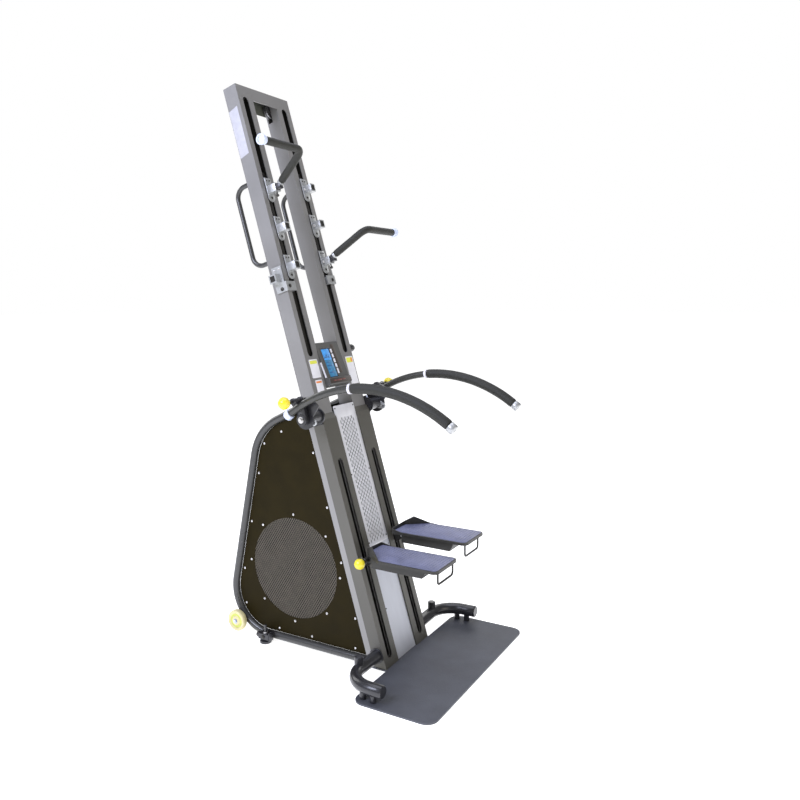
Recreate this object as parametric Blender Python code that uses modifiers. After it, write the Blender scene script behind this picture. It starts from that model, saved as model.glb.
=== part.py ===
"""Vertical ladder climber for a gym: a leaning two-stile mast with coupled climbing carriages.

Metres, +Z up, +X to the user's right, +Y away from the user. The origin is on the floor, at the middle
of the mast's front foot. The mast leans back, so its parts are modelled upright in the mast frame (x,
depth behind the front face, height along the mast) and an empty tilts them.
"""

from math import cos, pi, radians, sin, tan

import bmesh
import bpy
from mathutils import Matrix, Vector

# ---- driving dimensions ------------------------------------------------------------------------
GAP = 0.0003  # left between neighbours that touch
LEAN = radians(16.5)  # of the mast, back from upright
MAST_LENGTH = 2.40
FLOOR_CLEARANCE = 0.0063  # underside of the mast, just above the platform plate
STILE_INNER = 0.079  # x of a stile's inner side
STILE_OUTER = 0.171
STILE_FRONT = 0.011  # depth of the stile's front face behind the lower covers
STILE_BACK = 0.077
STILE_WALL = 0.003
SLOT_X = 0.127  # centre of the slots and of all that climbs in them
UPPER_SLOT = (1.258, 2.352)  # heights along the mast
LOWER_SLOT = (0.039, 0.838)
UPPER_SLOT_WIDTH = 0.034
LOWER_SLOT_WIDTH = 0.033
COVER_TOP = 1.000
COVER_SHOULDER = 0.024
COVER_WALL = 0.0022
PLATE_HALF_WIDTH = 0.0745
CONSOLE_PLACE = (0.003, 1.225)  # depth and height of the middle of its face
CONSOLE_TILT = radians(-7)  # its foot stands further forward than its head

CLIMB_OFFSET = 0.0145  # each carriage's distance from mid travel at rest, left low and right high
RAIL = (0.40, 2.05)
RAIL_DEPTH = (0.024, 0.040)
SOCKET_HEIGHTS = (1.642, 1.803, 1.965)
SOCKET_SIZE = 0.034
TAB_LENGTH = 0.100  # of each socket's mounting plate
SOCKET_BORE = 0.0235
HANDLE_TUBE = 0.011
HANDLE_FOAM = 0.015  # radius over the upper handles' foam
FOAM_RADIUS = 0.019  # and over the handlebars'
HANDLE_BEND = (0.164, -0.213, 0.077)  # x, depth, and height above its socket
HANDLE_END = 0.412  # x of the grip's outer end

IDLER_HEIGHT = 2.352
IDLER_X = 0.0925
IDLER_DEPTH = 0.060
CHAIN_RADIUS = 0.0325  # at the chain's middle, round an idler

PEDAL_TOP = 0.467  # at mid travel, above the floor
PEDAL_THICKNESS = 0.010
PEDAL_PIVOT = (0.080, 0.4365)  # y, z
PEDAL_PIN = (0.103, 0.4345)
PEDAL_KNOB_X = 0.207
PEDAL_KNOB = 0.021  # radius

BAR_X = 0.300
BAR_RADIUS = 0.014
BAR_ARC = (0.006, 0.552, 0.560)  # y, z and radius of the arc that the bar is bent to
BAR_ENDS = (radians(39.5), radians(-38.7))  # from the arc's top, rear end first
BAR_FOAM = (radians(6.1), radians(-36.0))
BAR_PIVOT = (0.300, 0.975)
BAR_PIN = (0.309, 1.050)
BAR_KNOB_X = 0.385
BAR_KNOB = 0.0235  # radius

TUBE_X = 0.168  # of the side frames
TUBE_RADIUS = 0.016
TUBE_CORNERS = ((0.02, 0.0245), (0.7965, 0.0245), (0.6136, 0.8964), (0.3313, 1.0304))  # y, z
TUBE_BENDS = (0.178, 0.22)
LUG = (0.7061, 0.0797)  # on the tube's centreline, where the wheel's lug is welded
FAN_CENTRE = (0.445, 0.329)
GRILLE_OPENING = 0.211
PANEL_X = 0.160

PLATFORM_HALF_WIDTH = 0.433
PLATFORM_DEPTH = 0.326
PLATFORM_THICKNESS = 0.006
ARM_RADIUS = 0.024
ARM_HEIGHT = 0.054
WHEEL_CENTRE = (0.722, 0.0645)
WHEEL_RADIUS = 0.045
FOOT = (0.203, 0.571)  # x, y

SIDES = (("left", -1), ("right", 1))
AXIS_X = Matrix.Rotation(pi / 2, 4, "Y")  # turns a shape made round Z to lie round X
AXIS_DEPTH = Matrix.Rotation(-pi / 2, 4, "X")  # and to lie round the depth axis


# ---- scene, materials --------------------------------------------------------------------------
def clear_scene():
    for obj in list(bpy.data.objects):
        bpy.data.objects.remove(obj)


def new_collection(name):
    made = bpy.data.collections.new(name)
    bpy.context.scene.collection.children.link(made)
    return made


def look(name, colour, roughness, metallic=0.0):
    made = bpy.data.materials.new(name)
    made.use_nodes = True
    shader = made.node_tree.nodes["Principled BSDF"]
    shader.inputs["Base Color"].default_value = (*colour, 1)
    shader.inputs["Roughness"].default_value = roughness
    shader.inputs["Metallic"].default_value = metallic
    made.diffuse_color = (*colour, 1)
    return made


def make_looks():
    return {
        "mast": look("mast_paint", (0.21, 0.20, 0.185), 0.35, 0.3),
        "tube": look("tube_paint", (0.20, 0.21, 0.23), 0.3, 0.4),
        "black": look("black_paint", (0.03, 0.03, 0.03), 0.4, 0.2),
        "panel": look("panel_paint", (0.028, 0.025, 0.018), 0.45),
        "steel": look("bright_steel", (0.75, 0.76, 0.80), 0.25, 1.0),
        "silver": look("silver_bracket", (0.62, 0.62, 0.62), 0.35, 0.9),
        "foam": look("foam", (0.02, 0.02, 0.018), 0.8),
        "plastic": look("black_plastic", (0.025, 0.025, 0.028), 0.5),
        "screen": look("screen_blue", (0.03, 0.22, 0.45), 0.15),
        "white": look("white_plastic", (0.85, 0.85, 0.88), 0.35),
        "yellow": look("yellow_plastic", (0.90, 0.72, 0.03), 0.3),
        "cream": look("cream_rubber", (0.72, 0.66, 0.38), 0.55),
        "mat": look("platform_rubber", (0.075, 0.08, 0.095), 0.6),
        "mesh": look("grille_metal", (0.06, 0.05, 0.045), 0.4, 0.6),
    }


# ---- shapes ------------------------------------------------------------------------------------
def empty(name, parent=None, location=(0, 0, 0), tilt=0.0):
    made = bpy.data.objects.new(name, None)
    bpy.context.scene.collection.objects.link(made)
    made.parent = parent
    made.location = location
    made.rotation_euler = (tilt, 0, 0)
    return made


def finish(name, shape, paint, frame, origin, home):
    """Turns a bmesh into an object whose origin is at a point of its frame."""
    bmesh.ops.translate(shape, verts=shape.verts, vec=-Vector(origin))
    bmesh.ops.recalc_face_normals(shape, faces=shape.faces)
    mesh = bpy.data.meshes.new(name)
    shape.to_mesh(mesh)
    shape.free()
    obj = bpy.data.objects.new(name, mesh)
    home.objects.link(obj)
    obj.parent = frame
    obj.location = origin
    if paint:
        mesh.materials.append(paint)
    return obj


def part(name, shape, paint, frame=None, origin=(0, 0, 0)):
    return finish(name, shape, paint, frame, origin, PARTS)


def tool(shape, frame=None):
    """A shape that only cuts or joins another."""
    made = finish("tool", shape, None, frame, (0, 0, 0), TOOLS)
    made.hide_render = True
    made.display_type = "WIRE"
    return made


def combine(target, operation, shape, frame=None):
    boolean = target.modifiers.new(operation.lower(), "BOOLEAN")
    boolean.operation = operation
    boolean.object = tool(shape, frame)


def cut(target, shape, frame=None):
    combine(target, "DIFFERENCE", shape, frame)


def join(target, shape, frame=None):
    combine(target, "UNION", shape, frame)


def round_edges(target, width, segments=2):
    bevel = target.modifiers.new("bevel", "BEVEL")
    bevel.width = width
    bevel.segments = segments
    bevel.limit_method = "ANGLE"


def smooth(target, angle=35):
    target.data.shade_smooth()
    target.data.set_sharp_from_angle(angle=radians(angle))
    return target


def box(low, high):
    low, high = Vector(low), Vector(high)
    shape = bmesh.new()
    scale = Matrix.Diagonal((*(high - low), 1))
    bmesh.ops.create_cube(shape, size=1, matrix=Matrix.Translation((low + high) / 2) @ scale)
    return shape


def side_box(side, x, depth, height):
    """A box given by its ranges, mirrored to the left when side is -1."""
    xs = sorted(side * value for value in x)
    return box((xs[0], depth[0], height[0]), (xs[1], depth[1], height[1]))


def rod(start, end, radius, sides=20, end_radius=None):
    start, end = Vector(start), Vector(end)
    shape = bmesh.new()
    turn = (end - start).to_track_quat("Z", "Y").to_matrix().to_4x4()
    bmesh.ops.create_cone(
        shape,
        cap_ends=True,
        segments=sides,
        radius1=radius,
        radius2=radius if end_radius is None else end_radius,
        depth=(end - start).length,
        matrix=Matrix.Translation((start + end) / 2) @ turn,
    )
    return shape


def as_shape(obj):
    """The bmesh of an object as its modifiers leave it. The object is removed."""
    bpy.context.view_layer.update()
    mesh = bpy.data.meshes.new_from_object(obj.evaluated_get(bpy.context.evaluated_depsgraph_get()))
    shape = bmesh.new()
    shape.from_mesh(mesh)
    bmesh.ops.remove_doubles(shape, verts=shape.verts, dist=0.00001)
    bpy.data.objects.remove(obj)
    bpy.data.meshes.remove(mesh)
    return shape


def turned(profile, matrix, sides=24, closed=False):
    """Turns (radius, height) points round Z, then places the shape. A closed profile leaves a bore."""
    count = len(profile)
    edges = [(index, index + 1) for index in range(count - 1)]
    if closed:
        edges.append((count - 1, 0))
    mesh = bpy.data.meshes.new("profile")
    mesh.from_pydata([(radius, 0, height) for radius, height in profile], edges, [])
    obj = bpy.data.objects.new("profile", mesh)
    bpy.context.scene.collection.objects.link(obj)
    screw = obj.modifiers.new("screw", "SCREW")
    screw.steps = sides
    screw.render_steps = sides
    screw.use_merge_vertices = True
    screw.merge_threshold = 0.00001
    shape = as_shape(obj)
    bpy.data.meshes.remove(mesh)
    bmesh.ops.transform(shape, matrix=matrix, verts=shape.verts)
    return shape


def slab(outline, start, end, axis="Z"):
    """A flat outline of 2D points, extruded from start to end along the axis."""
    place = {
        "X": Matrix(((0, 0, 1), (1, 0, 0), (0, 1, 0))),
        "Y": Matrix(((1, 0, 0), (0, 0, 1), (0, 1, 0))),
        "Z": Matrix.Identity(3),
    }[axis]
    curve = bpy.data.curves.new("outline", "CURVE")
    curve.dimensions = "2D"
    curve.fill_mode = "BOTH"
    curve.extrude = abs(end - start) / 2
    spline = curve.splines.new("POLY")
    spline.points.add(len(outline) - 1)
    spline.use_cyclic_u = True
    for point, (across, along) in zip(spline.points, outline):
        point.co = (across, along, 0, 1)
    obj = bpy.data.objects.new("outline", curve)
    bpy.context.scene.collection.objects.link(obj)
    shape = as_shape(obj)
    bpy.data.curves.remove(curve)
    bmesh.ops.translate(shape, verts=shape.verts, vec=(0, 0, (start + end) / 2))
    bmesh.ops.transform(shape, matrix=place.to_4x4(), verts=shape.verts)
    return shape


def tube(points, radius, resolution=3):
    """A round tube with closed ends along points."""
    curve = bpy.data.curves.new("path", "CURVE")
    curve.dimensions = "3D"
    curve.bevel_depth = radius
    curve.bevel_resolution = resolution
    curve.use_fill_caps = True
    spline = curve.splines.new("POLY")
    spline.points.add(len(points) - 1)
    for place, point in zip(spline.points, points):
        place.co = (*point, 1)
    obj = bpy.data.objects.new("path", curve)
    bpy.context.scene.collection.objects.link(obj)
    shape = as_shape(obj)
    bpy.data.curves.remove(curve)
    return shape


def bent(corners, bends, steps=6):
    """The points of a path with straight runs between its corners, and an arc of each bend radius."""
    corners = [Vector(corner) for corner in corners]
    points = [corners[0]]
    for before, corner, after, bend in zip(corners, corners[1:], corners[2:], bends):
        to_start, to_end = (before - corner).normalized(), (after - corner).normalized()
        half = to_start.angle(to_end) / 2
        centre = corner + (to_start + to_end).normalized() * (bend / sin(half))
        first = corner + to_start * (bend / tan(half)) - centre
        last = corner + to_end * (bend / tan(half)) - centre
        points += [centre + first.slerp(last, step / steps) * bend for step in range(steps + 1)]
    return points + [corners[-1]]


def slot_outline(width, low, high, x=SLOT_X, steps=8):
    """A long slot with round ends, as points across and along the mast."""
    half = width / 2
    turns = [pi * step / steps for step in range(steps + 1)]
    top = [(x + half * cos(turn), high - half + half * sin(turn)) for turn in turns]
    bottom = [(x - half * cos(turn), low + half - half * sin(turn)) for turn in turns]
    return top + bottom


def inset(corners, distance):
    """The corners of a closed outline moved inward. The outline runs anticlockwise."""
    corners = [Vector(corner) for corner in corners]
    moved = []
    for index, corner in enumerate(corners):
        arrive = (corner - corners[index - 1]).normalized()
        leave = (corners[(index + 1) % len(corners)] - corner).normalized()
        inward = Vector((-arrive.y - leave.y, arrive.x + leave.x)).normalized()
        moved.append(corner + inward * (distance / inward.dot(Vector((-arrive.y, arrive.x)))))
    return moved


def mirrored(outline, side):
    return [(side * a, b) for a, b in outline]


# ---- mast --------------------------------------------------------------------------------------
def cut_level(target):
    """Cuts a leaning piece off level, just above the platform plate."""
    cut(target, box((-0.5, -0.5, -0.4), (0.5, 0.6, FLOOR_CLEARANCE)))


def make_stile(name, side):
    stile = part(
        name + "_stile",
        side_box(side, (STILE_INNER, STILE_OUTER), (STILE_FRONT, STILE_BACK), (-0.05, MAST_LENGTH)),
        LOOKS["mast"],
        MAST,
    )
    inner = (STILE_INNER + STILE_WALL, STILE_OUTER - STILE_WALL)
    hollow = (STILE_FRONT + STILE_WALL, STILE_BACK - STILE_WALL)
    cut(stile, side_box(side, inner, hollow, (-0.2, MAST_LENGTH - STILE_WALL)), MAST)
    for width, span in ((UPPER_SLOT_WIDTH, UPPER_SLOT), (LOWER_SLOT_WIDTH, LOWER_SLOT)):
        outline = mirrored(slot_outline(width, *span), side)
        cut(stile, slab(outline, STILE_FRONT - 0.01, STILE_FRONT + 0.02, "Y"), MAST)
    cut(stile, side_box(side, (0.07, 0.09), (0.048, 0.071), (2.30, MAST_LENGTH - STILE_WALL)), MAST)
    pin_start = (side * IDLER_X, STILE_FRONT + 0.001, IDLER_HEIGHT)
    join(stile, rod(pin_start, (side * IDLER_X, 0.068, IDLER_HEIGHT), 0.006, 12), MAST)
    cut_level(stile)


def make_cross_members():
    half = STILE_INNER - GAP
    top = part(
        "top_cross_member",
        box((-half, STILE_FRONT, 2.345), (half, STILE_BACK, MAST_LENGTH)),
        LOOKS["mast"],
        MAST,
    )
    cut(top, box((-0.1, STILE_FRONT + STILE_WALL, 2.3), (0.1, 0.1, MAST_LENGTH - STILE_WALL)), MAST)
    low = box((-half, 0.052, 0.100), (half, 0.072, 0.160))
    part("lower_cross_member", low, LOOKS["mast"], MAST)


def make_cover(name, side):
    """A sheet cover over the lower stile, with a sloping shoulder at its top and a slot down its front."""
    inner = STILE_INNER - GAP - COVER_WALL
    outer = STILE_OUTER + GAP + COVER_WALL
    top, rim = COVER_TOP + COVER_SHOULDER, STILE_FRONT - 2 * GAP
    profile = [(0, -0.05), (0.05, -0.05), (0.05, top), (rim, top), (0, COVER_TOP)]
    xs = sorted((side * inner, side * outer))
    cover = part(name + "_mast_cover", slab(profile, *xs, "X"), LOOKS["mast"], MAST)
    clear = STILE_FRONT - GAP
    hollow = [(COVER_WALL, -0.1), (0.06, -0.1), (0.06, top + 0.01), (clear, top + 0.01)]
    hollow += [(clear, top - 0.006), (COVER_WALL, COVER_TOP - 0.001)]
    xs = sorted((side * (inner + COVER_WALL), side * (outer - COVER_WALL)))
    cut(cover, slab(hollow, *xs, "X"), MAST)
    outline = mirrored(slot_outline(LOWER_SLOT_WIDTH, *LOWER_SLOT), side)
    cut(cover, slab(outline, -0.01, 0.008, "Y"), MAST)
    cut_level(cover)


def make_front_plates():
    half = PLATE_HALF_WIDTH
    part("perforated_plate", box((-half, 0.005, 0.460), (half, 0.0075, 1.045)), LOOKS["steel"], MAST)
    kick = part("kick_plate", box((-half, 0.005, -0.02), (half, 0.0075, 0.4595)), LOOKS["steel"], MAST)
    cut_level(kick)


def make_console():
    """The display box between the stiles. Its frame lies on its face, tilted a little more than the mast."""
    depth, height = CONSOLE_PLACE
    frame = empty("console_frame", MAST, (0, depth, height), CONSOLE_TILT)
    half = STILE_INNER - 0.0007
    profile = [(0.045, -0.096), (0.045, 0.088), (0.003, 0.088), (0, 0.084), (0, -0.066)]
    profile += [(-0.007, -0.070), (-0.007, -0.092), (-0.003, -0.096)]
    housing = part("console_housing", slab(profile, -half, half, "X"), LOOKS["plastic"], frame)
    low, high = (-0.056, 0.0008, -0.066 + GAP), (0.004, 0.0058, 0.061)
    cut(housing, box((low[0] - GAP, -0.01, low[2] - GAP), (high[0] + GAP, 0.0061, high[2] + GAP)), frame)
    part("console_screen", box(low, high), LOOKS["screen"], frame)
    for index in range(4):
        middle = 0.0475 - 0.0215 * index
        cut(housing, box((0.0065, -0.01, middle - 0.0095), (0.0195, 0.012, middle + 0.0095)), frame)
        shape = box((0.0075, -0.0020, middle - 0.0085), (0.0185, 0.0075, middle + 0.0085))
        centre = (0.013, -0.002, middle)
        button = part(f"console_button_{index + 1}", shape, LOOKS["white"], frame, centre)
        round_edges(button, 0.001, 1)


def make_tension_knob():
    """Turns on the right stile's outer side."""
    profile = [(0, 0.054), (0.009, 0.054), (0.0145, 0.050), (0.017, 0.041), (0.0135, 0.022)]
    profile += [(0.0095, 0.010), (0.0095, 0.0005), (0, 0.0005)]
    centre = (STILE_OUTER, 0.035, 1.279)
    knob = turned(profile, Matrix.Translation(centre) @ AXIS_X, 16)
    smooth(part("tension_knob", knob, LOOKS["plastic"], MAST, centre))


def make_mast():
    for name, side in SIDES:
        make_stile(name, side)
        make_cover(name, side)
    make_cross_members()
    make_front_plates()
    make_console()
    make_tension_knob()


# ---- climbing gear inside and in front of the mast -----------------------------------------------
def make_idlers_and_chain():
    profile = [(0.0066, 0.0065), (0.036, 0.0065), (0.036, 0.0050), (0.0290, 0.0050)]
    profile += [(0.0290, -0.0050), (0.036, -0.0050), (0.036, -0.0065), (0.0066, -0.0065)]
    for name, side in SIDES:
        centre = (side * IDLER_X, IDLER_DEPTH, IDLER_HEIGHT)
        wheel = turned(profile, Matrix.Translation(centre) @ AXIS_DEPTH, 20, closed=True)
        smooth(part(name + "_idler", wheel, LOOKS["steel"], MAST, centre))
    reach = IDLER_X + CHAIN_RADIUS
    top = IDLER_HEIGHT + CHAIN_RADIUS
    half_thickness = 0.0028

    def run(offset):
        side, height = reach + offset, top + offset
        corners = [(-side, 1.75), (-side, height), (side, height), (side, 1.75)]
        bend = CHAIN_RADIUS + offset
        return [(p.x, p.y) for p in bent(corners, (bend, bend), 8)]

    outline = run(half_thickness) + run(-half_thickness)[::-1]
    chain = slab(outline, IDLER_DEPTH - 0.004, IDLER_DEPTH + 0.004, "Y")
    part("climb_chain", chain, LOOKS["black"], MAST)


def make_rail(name, side, frame):
    """The rail inside a stile, with the tongue that carries the pedal."""
    half = 0.020
    span = (SLOT_X - half, SLOT_X + half)
    rail = part(name + "_climb_rail", side_box(side, span, RAIL_DEPTH, RAIL), LOOKS["black"], frame)
    y, z = PEDAL_PIVOT
    height = y * sin(LEAN) + z * cos(LEAN)
    depth = y * cos(LEAN) - z * sin(LEAN)
    radius, root = 0.0115, RAIL_DEPTH[0] + 0.006
    turns = [radians(25) + radians(245) * step / 12 for step in range(13)]
    outline = [(depth + radius * cos(turn), height + radius * sin(turn)) for turn in turns]
    outline += [(root, height - 0.032), (root, outline[0][1])]
    xs = sorted((side * (SLOT_X - 0.0085), side * (SLOT_X + 0.0085)))
    join(rail, slab(outline, *xs, "X"), frame)
    bore_start = (side * (SLOT_X - 0.02), depth, height)
    cut(rail, rod(bore_start, (side * (SLOT_X + 0.02), depth, height), 0.0066, 16), frame)


def make_handle_rack(name, side, frame, used):
    """Square handle sockets on their mounting plates, joined by a strip inside the upper slot.

    Only the socket in use is open. The others keep their plugs in.
    """
    half, bore = SOCKET_SIZE / 2, SOCKET_BORE / 2
    ends = (SOCKET_HEIGHTS[0] + half + 0.035 - TAB_LENGTH, SOCKET_HEIGHTS[2] + half + 0.035)
    strip = side_box(side, (SLOT_X - 0.009, SLOT_X + 0.009), (0.015, RAIL_DEPTH[0] - GAP), ends)
    rack = part(name + "_handle_rack", strip, LOOKS["silver"], frame)
    for height in SOCKET_HEIGHTS:
        top = height + half + 0.035
        tab, post = (SLOT_X - 0.020, SLOT_X + 0.020), (SLOT_X - 0.0085, SLOT_X + 0.0085)
        join(rack, side_box(side, tab, (0.004, 0.008), (top - TAB_LENGTH, top)), frame)
        join(rack, side_box(side, post, (0.006, 0.020), (top - 0.095, top - 0.005)), frame)
        span, rise = (SLOT_X - half, SLOT_X + half), (height - half, height + half)
        join(rack, side_box(side, span, (-0.036, 0.0078), rise), frame)
    span, rise = (SLOT_X - bore, SLOT_X + bore), (SOCKET_HEIGHTS[used] - bore, SOCKET_HEIGHTS[used] + bore)
    cut(rack, side_box(side, span, (-0.05, -0.008), rise), frame)


def make_side_socket(name, side, frame):
    """The wrap-round plate that carries a fourth socket on the stile's outer side."""
    plate = side_box(side, (0.1745, 0.1775), (0.012, 0.060), (1.546, 1.651))
    bracket = part(name + "_side_socket", plate, LOOKS["silver"], frame)
    join(bracket, side_box(side, (0.1745, 0.1775), (0.004, 0.014), (1.546, 1.585)), frame)
    join(bracket, side_box(side, (0.118, 0.1770), (0.004, 0.008), (1.546, 1.585)), frame)
    join(bracket, side_box(side, (0.1185, 0.1355), (0.006, RAIL_DEPTH[0] - GAP), (1.548, 1.580)), frame)
    join(bracket, side_box(side, (0.1770, 0.205), (0.027, 0.061), (1.5865, 1.6205)), frame)


def make_upper_handle(name, side, frame, height):
    """An L-shaped grip that plugs into one socket."""
    across, forward, up = HANDLE_BEND
    base = Vector((side * 0.122, -0.0425, height + 0.008))
    bend = Vector((side * across, forward, height + up))
    end = Vector((side * HANDLE_END, forward, height + up))
    stem_half = SOCKET_BORE / 2 - 0.0005
    origin = (side * SLOT_X, -0.036, height)
    span, rise = (SLOT_X - stem_half, SLOT_X + stem_half), (height - stem_half, height + stem_half)
    stem = side_box(side, span, (-0.056, -0.0085), rise)
    handle = part(name + "_upper_handle", stem, LOOKS["steel"], frame, origin)
    path = bent([base, bend, end], (0.040,), 5)
    join(handle, tube(path, HANDLE_TUBE), frame)
    outward = Vector((side, 0, 0))
    cap_start = end - outward * 0.024
    join(handle, rod(cap_start, end, 0.0165, 20), frame)
    join(handle, rod(end - outward * 0.010, end, 0.020, 20), frame)
    cut(handle, rod(end - outward * 0.005, end + outward * 0.005, 0.013, 20), frame)
    along = (bend - base).normalized()
    collar = base + along * 0.009
    join(handle, rod(collar, collar + along * 0.010, HANDLE_FOAM - 0.001, 20), frame)
    foam_start = collar + along * 0.0105
    foam_path = [foam_start] + path[1:-1] + [cap_start - outward * 0.0005]
    foam = part(name + "_upper_grip", tube(foam_path, HANDLE_FOAM), LOOKS["foam"], frame, origin)
    cut(foam, tube(path, HANDLE_TUBE + 0.0005), frame)
    smooth(foam)


def pedal_outline(side):
    corners = [(0.226, 0.010), (0.155, 0.100), (0.052, 0.100), (0.045, 0.092), (0.045, -0.218)]
    corners += [(0.051, -0.230), (0.063, -0.236), (0.208, -0.236), (0.220, -0.230), (0.226, -0.218)]
    return mirrored(corners, side)


def make_pedal(name, side, frame):
    """The foot plate, its heel rim, the box under it, its hinge ears, pin housing and pull loop."""
    y, z = PEDAL_PIVOT
    pin_y, pin_z = PEDAL_PIN
    origin = (side * SLOT_X, y, z)
    under = PEDAL_TOP - PEDAL_THICKNESS
    tread = slab(pedal_outline(side), under, PEDAL_TOP)
    pedal = part(name + "_pedal", tread, LOOKS["plastic"], frame, origin)
    join(pedal, heel_rim(side, under + 0.002), frame)
    beam = [(0.066, under + 0.004), (0.066, 0.418), (-0.153, 0.416), (-0.166, 0.440)]
    beam += [(-0.166, under + 0.004)]
    join(pedal, slab(beam, *sorted((side * 0.071, side * 0.183)), "X"), frame)
    cut(pedal, side_box(side, (0.075, 0.179), (-0.149, 0.050), (0.40, under - 0.0005)), frame)
    rounds = [pi * (step / 8 - 0.5) for step in range(9)]
    inner = [(y + 0.0115 * cos(turn), z + 0.0115 * sin(turn)) for turn in rounds]
    outer = [(pin_y + 0.0125 * cos(turn), pin_z + 0.0125 * sin(turn)) for turn in rounds]
    notch = (SLOT_X - 0.0089, SLOT_X + 0.0089)
    cut(pedal, side_box(side, notch, (0.062, 0.12), (z - 0.03, under - 0.001)), frame)
    for nose, low, high in ((inner, 0.105, SLOT_X - 0.0092), (outer, SLOT_X + 0.0092, 0.149)):
        ear = [(0.055, under + 0.004), (0.055, z - 0.013)] + nose + [(nose[-1][0], under + 0.004)]
        join(pedal, slab(ear, *sorted((side * low, side * high)), "X"), frame)
    join(pedal, rod((side * 0.107, y, z), (side * 0.147, y, z), 0.006, 12), frame)
    join(pedal, rod((side * 0.145, pin_y, pin_z), (side * 0.178, pin_y, pin_z), 0.010, 16), frame)
    cut(pedal, rod((side * 0.152, pin_y, pin_z), (side * 0.19, pin_y, pin_z), 0.0056, 12), frame)
    loop = [(side * 0.065, -0.222, under + 0.004), (side * 0.065, -0.222, 0.4085)]
    loop += [(side * 0.190, -0.222, 0.4085), (side * 0.190, -0.222, under + 0.004)]
    join(pedal, tube(bent(loop, (0.012, 0.012), 4), 0.004, 2), frame)


def heel_rim(side, low):
    """A thin wall round the tread's back and outer corner, highest half way along the slanted edge."""
    outer = [(0.0455, 0.055), (0.0455, 0.0918), (0.0522, 0.0995), (0.1548, 0.0995)]
    outer += [(0.181, 0.0663), (0.2255, 0.0098), (0.2255, -0.020)]
    inner = [(0.049, 0.055), (0.049, 0.090), (0.054, 0.096), (0.153, 0.096)]
    inner += [(0.1783, 0.0641), (0.222, 0.009), (0.222, -0.020)]
    tops = [0.001, 0.009, 0.011, 0.0155, 0.034, 0.002, 0.001]
    shape = bmesh.new()
    rings = []
    for (x1, y1), (x2, y2), top in zip(mirrored(outer, side), mirrored(inner, side), tops):
        high = PEDAL_TOP + top
        ring = [(x1, y1, low), (x2, y2, low), (x2, y2, high), (x1, y1, high)]
        rings.append([shape.verts.new(point) for point in ring])
    for before, after in zip(rings, rings[1:]):
        for index in range(4):
            other = (index + 1) % 4
            shape.faces.new((before[index], before[other], after[other], after[index]))
    shape.faces.new(rings[0][::-1])
    shape.faces.new(rings[-1])
    bmesh.ops.recalc_face_normals(shape, faces=shape.faces)
    return shape


def knob_profile(radius, stem_length, neck):
    """A ball knob on a stem. Height 0 is the ball's centre, and the stem runs down from it."""
    turns = [radians(angle) for angle in range(0, 151, 25)]
    ball = [(radius * sin(turn), radius * cos(turn)) for turn in turns]
    shoulder = -radius - neck
    return ball + [(0.0095, shoulder), (0.0050, shoulder), (0.0050, -stem_length), (0, -stem_length)]


def make_pin(name, side, frame, radius, knob_x, tip_x, place, neck):
    """A spring pin with a ball knob, pulled outward along X."""
    centre = (side * knob_x, *place)
    turn = Matrix.Rotation(side * pi / 2, 4, "Y")
    profile = knob_profile(radius, knob_x - tip_x, neck)
    shape = turned(profile, Matrix.Translation(centre) @ turn, 14)
    smooth(part(name, shape, LOOKS["yellow"], frame, centre))


def make_carriage(name, side, socket):
    shift = side * CLIMB_OFFSET
    frame = empty(name + "_climb_axis", MAST, (0, 0, shift))
    make_rail(name, side, frame)
    make_handle_rack(name, side, frame, socket)
    make_side_socket(name, side, frame)
    make_upper_handle(name, side, frame, SOCKET_HEIGHTS[socket])
    level = empty(name + "_pedal_frame", None, (0, shift * sin(LEAN), shift * cos(LEAN)))
    make_pedal(name, side, level)
    make_pin(name + "_pedal_pin", side, level, PEDAL_KNOB, PEDAL_KNOB_X, 0.153, PEDAL_PIN, 0.002)


# ---- handlebars ---------------------------------------------------------------------------------
def bar_point(side, angle):
    y, z, radius = BAR_ARC
    return Vector((side * BAR_X, y + radius * sin(angle), z + radius * cos(angle)))


def bar_path(side, start, end, count):
    return [bar_point(side, start + (end - start) * step / (count - 1)) for step in range(count)]


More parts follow.
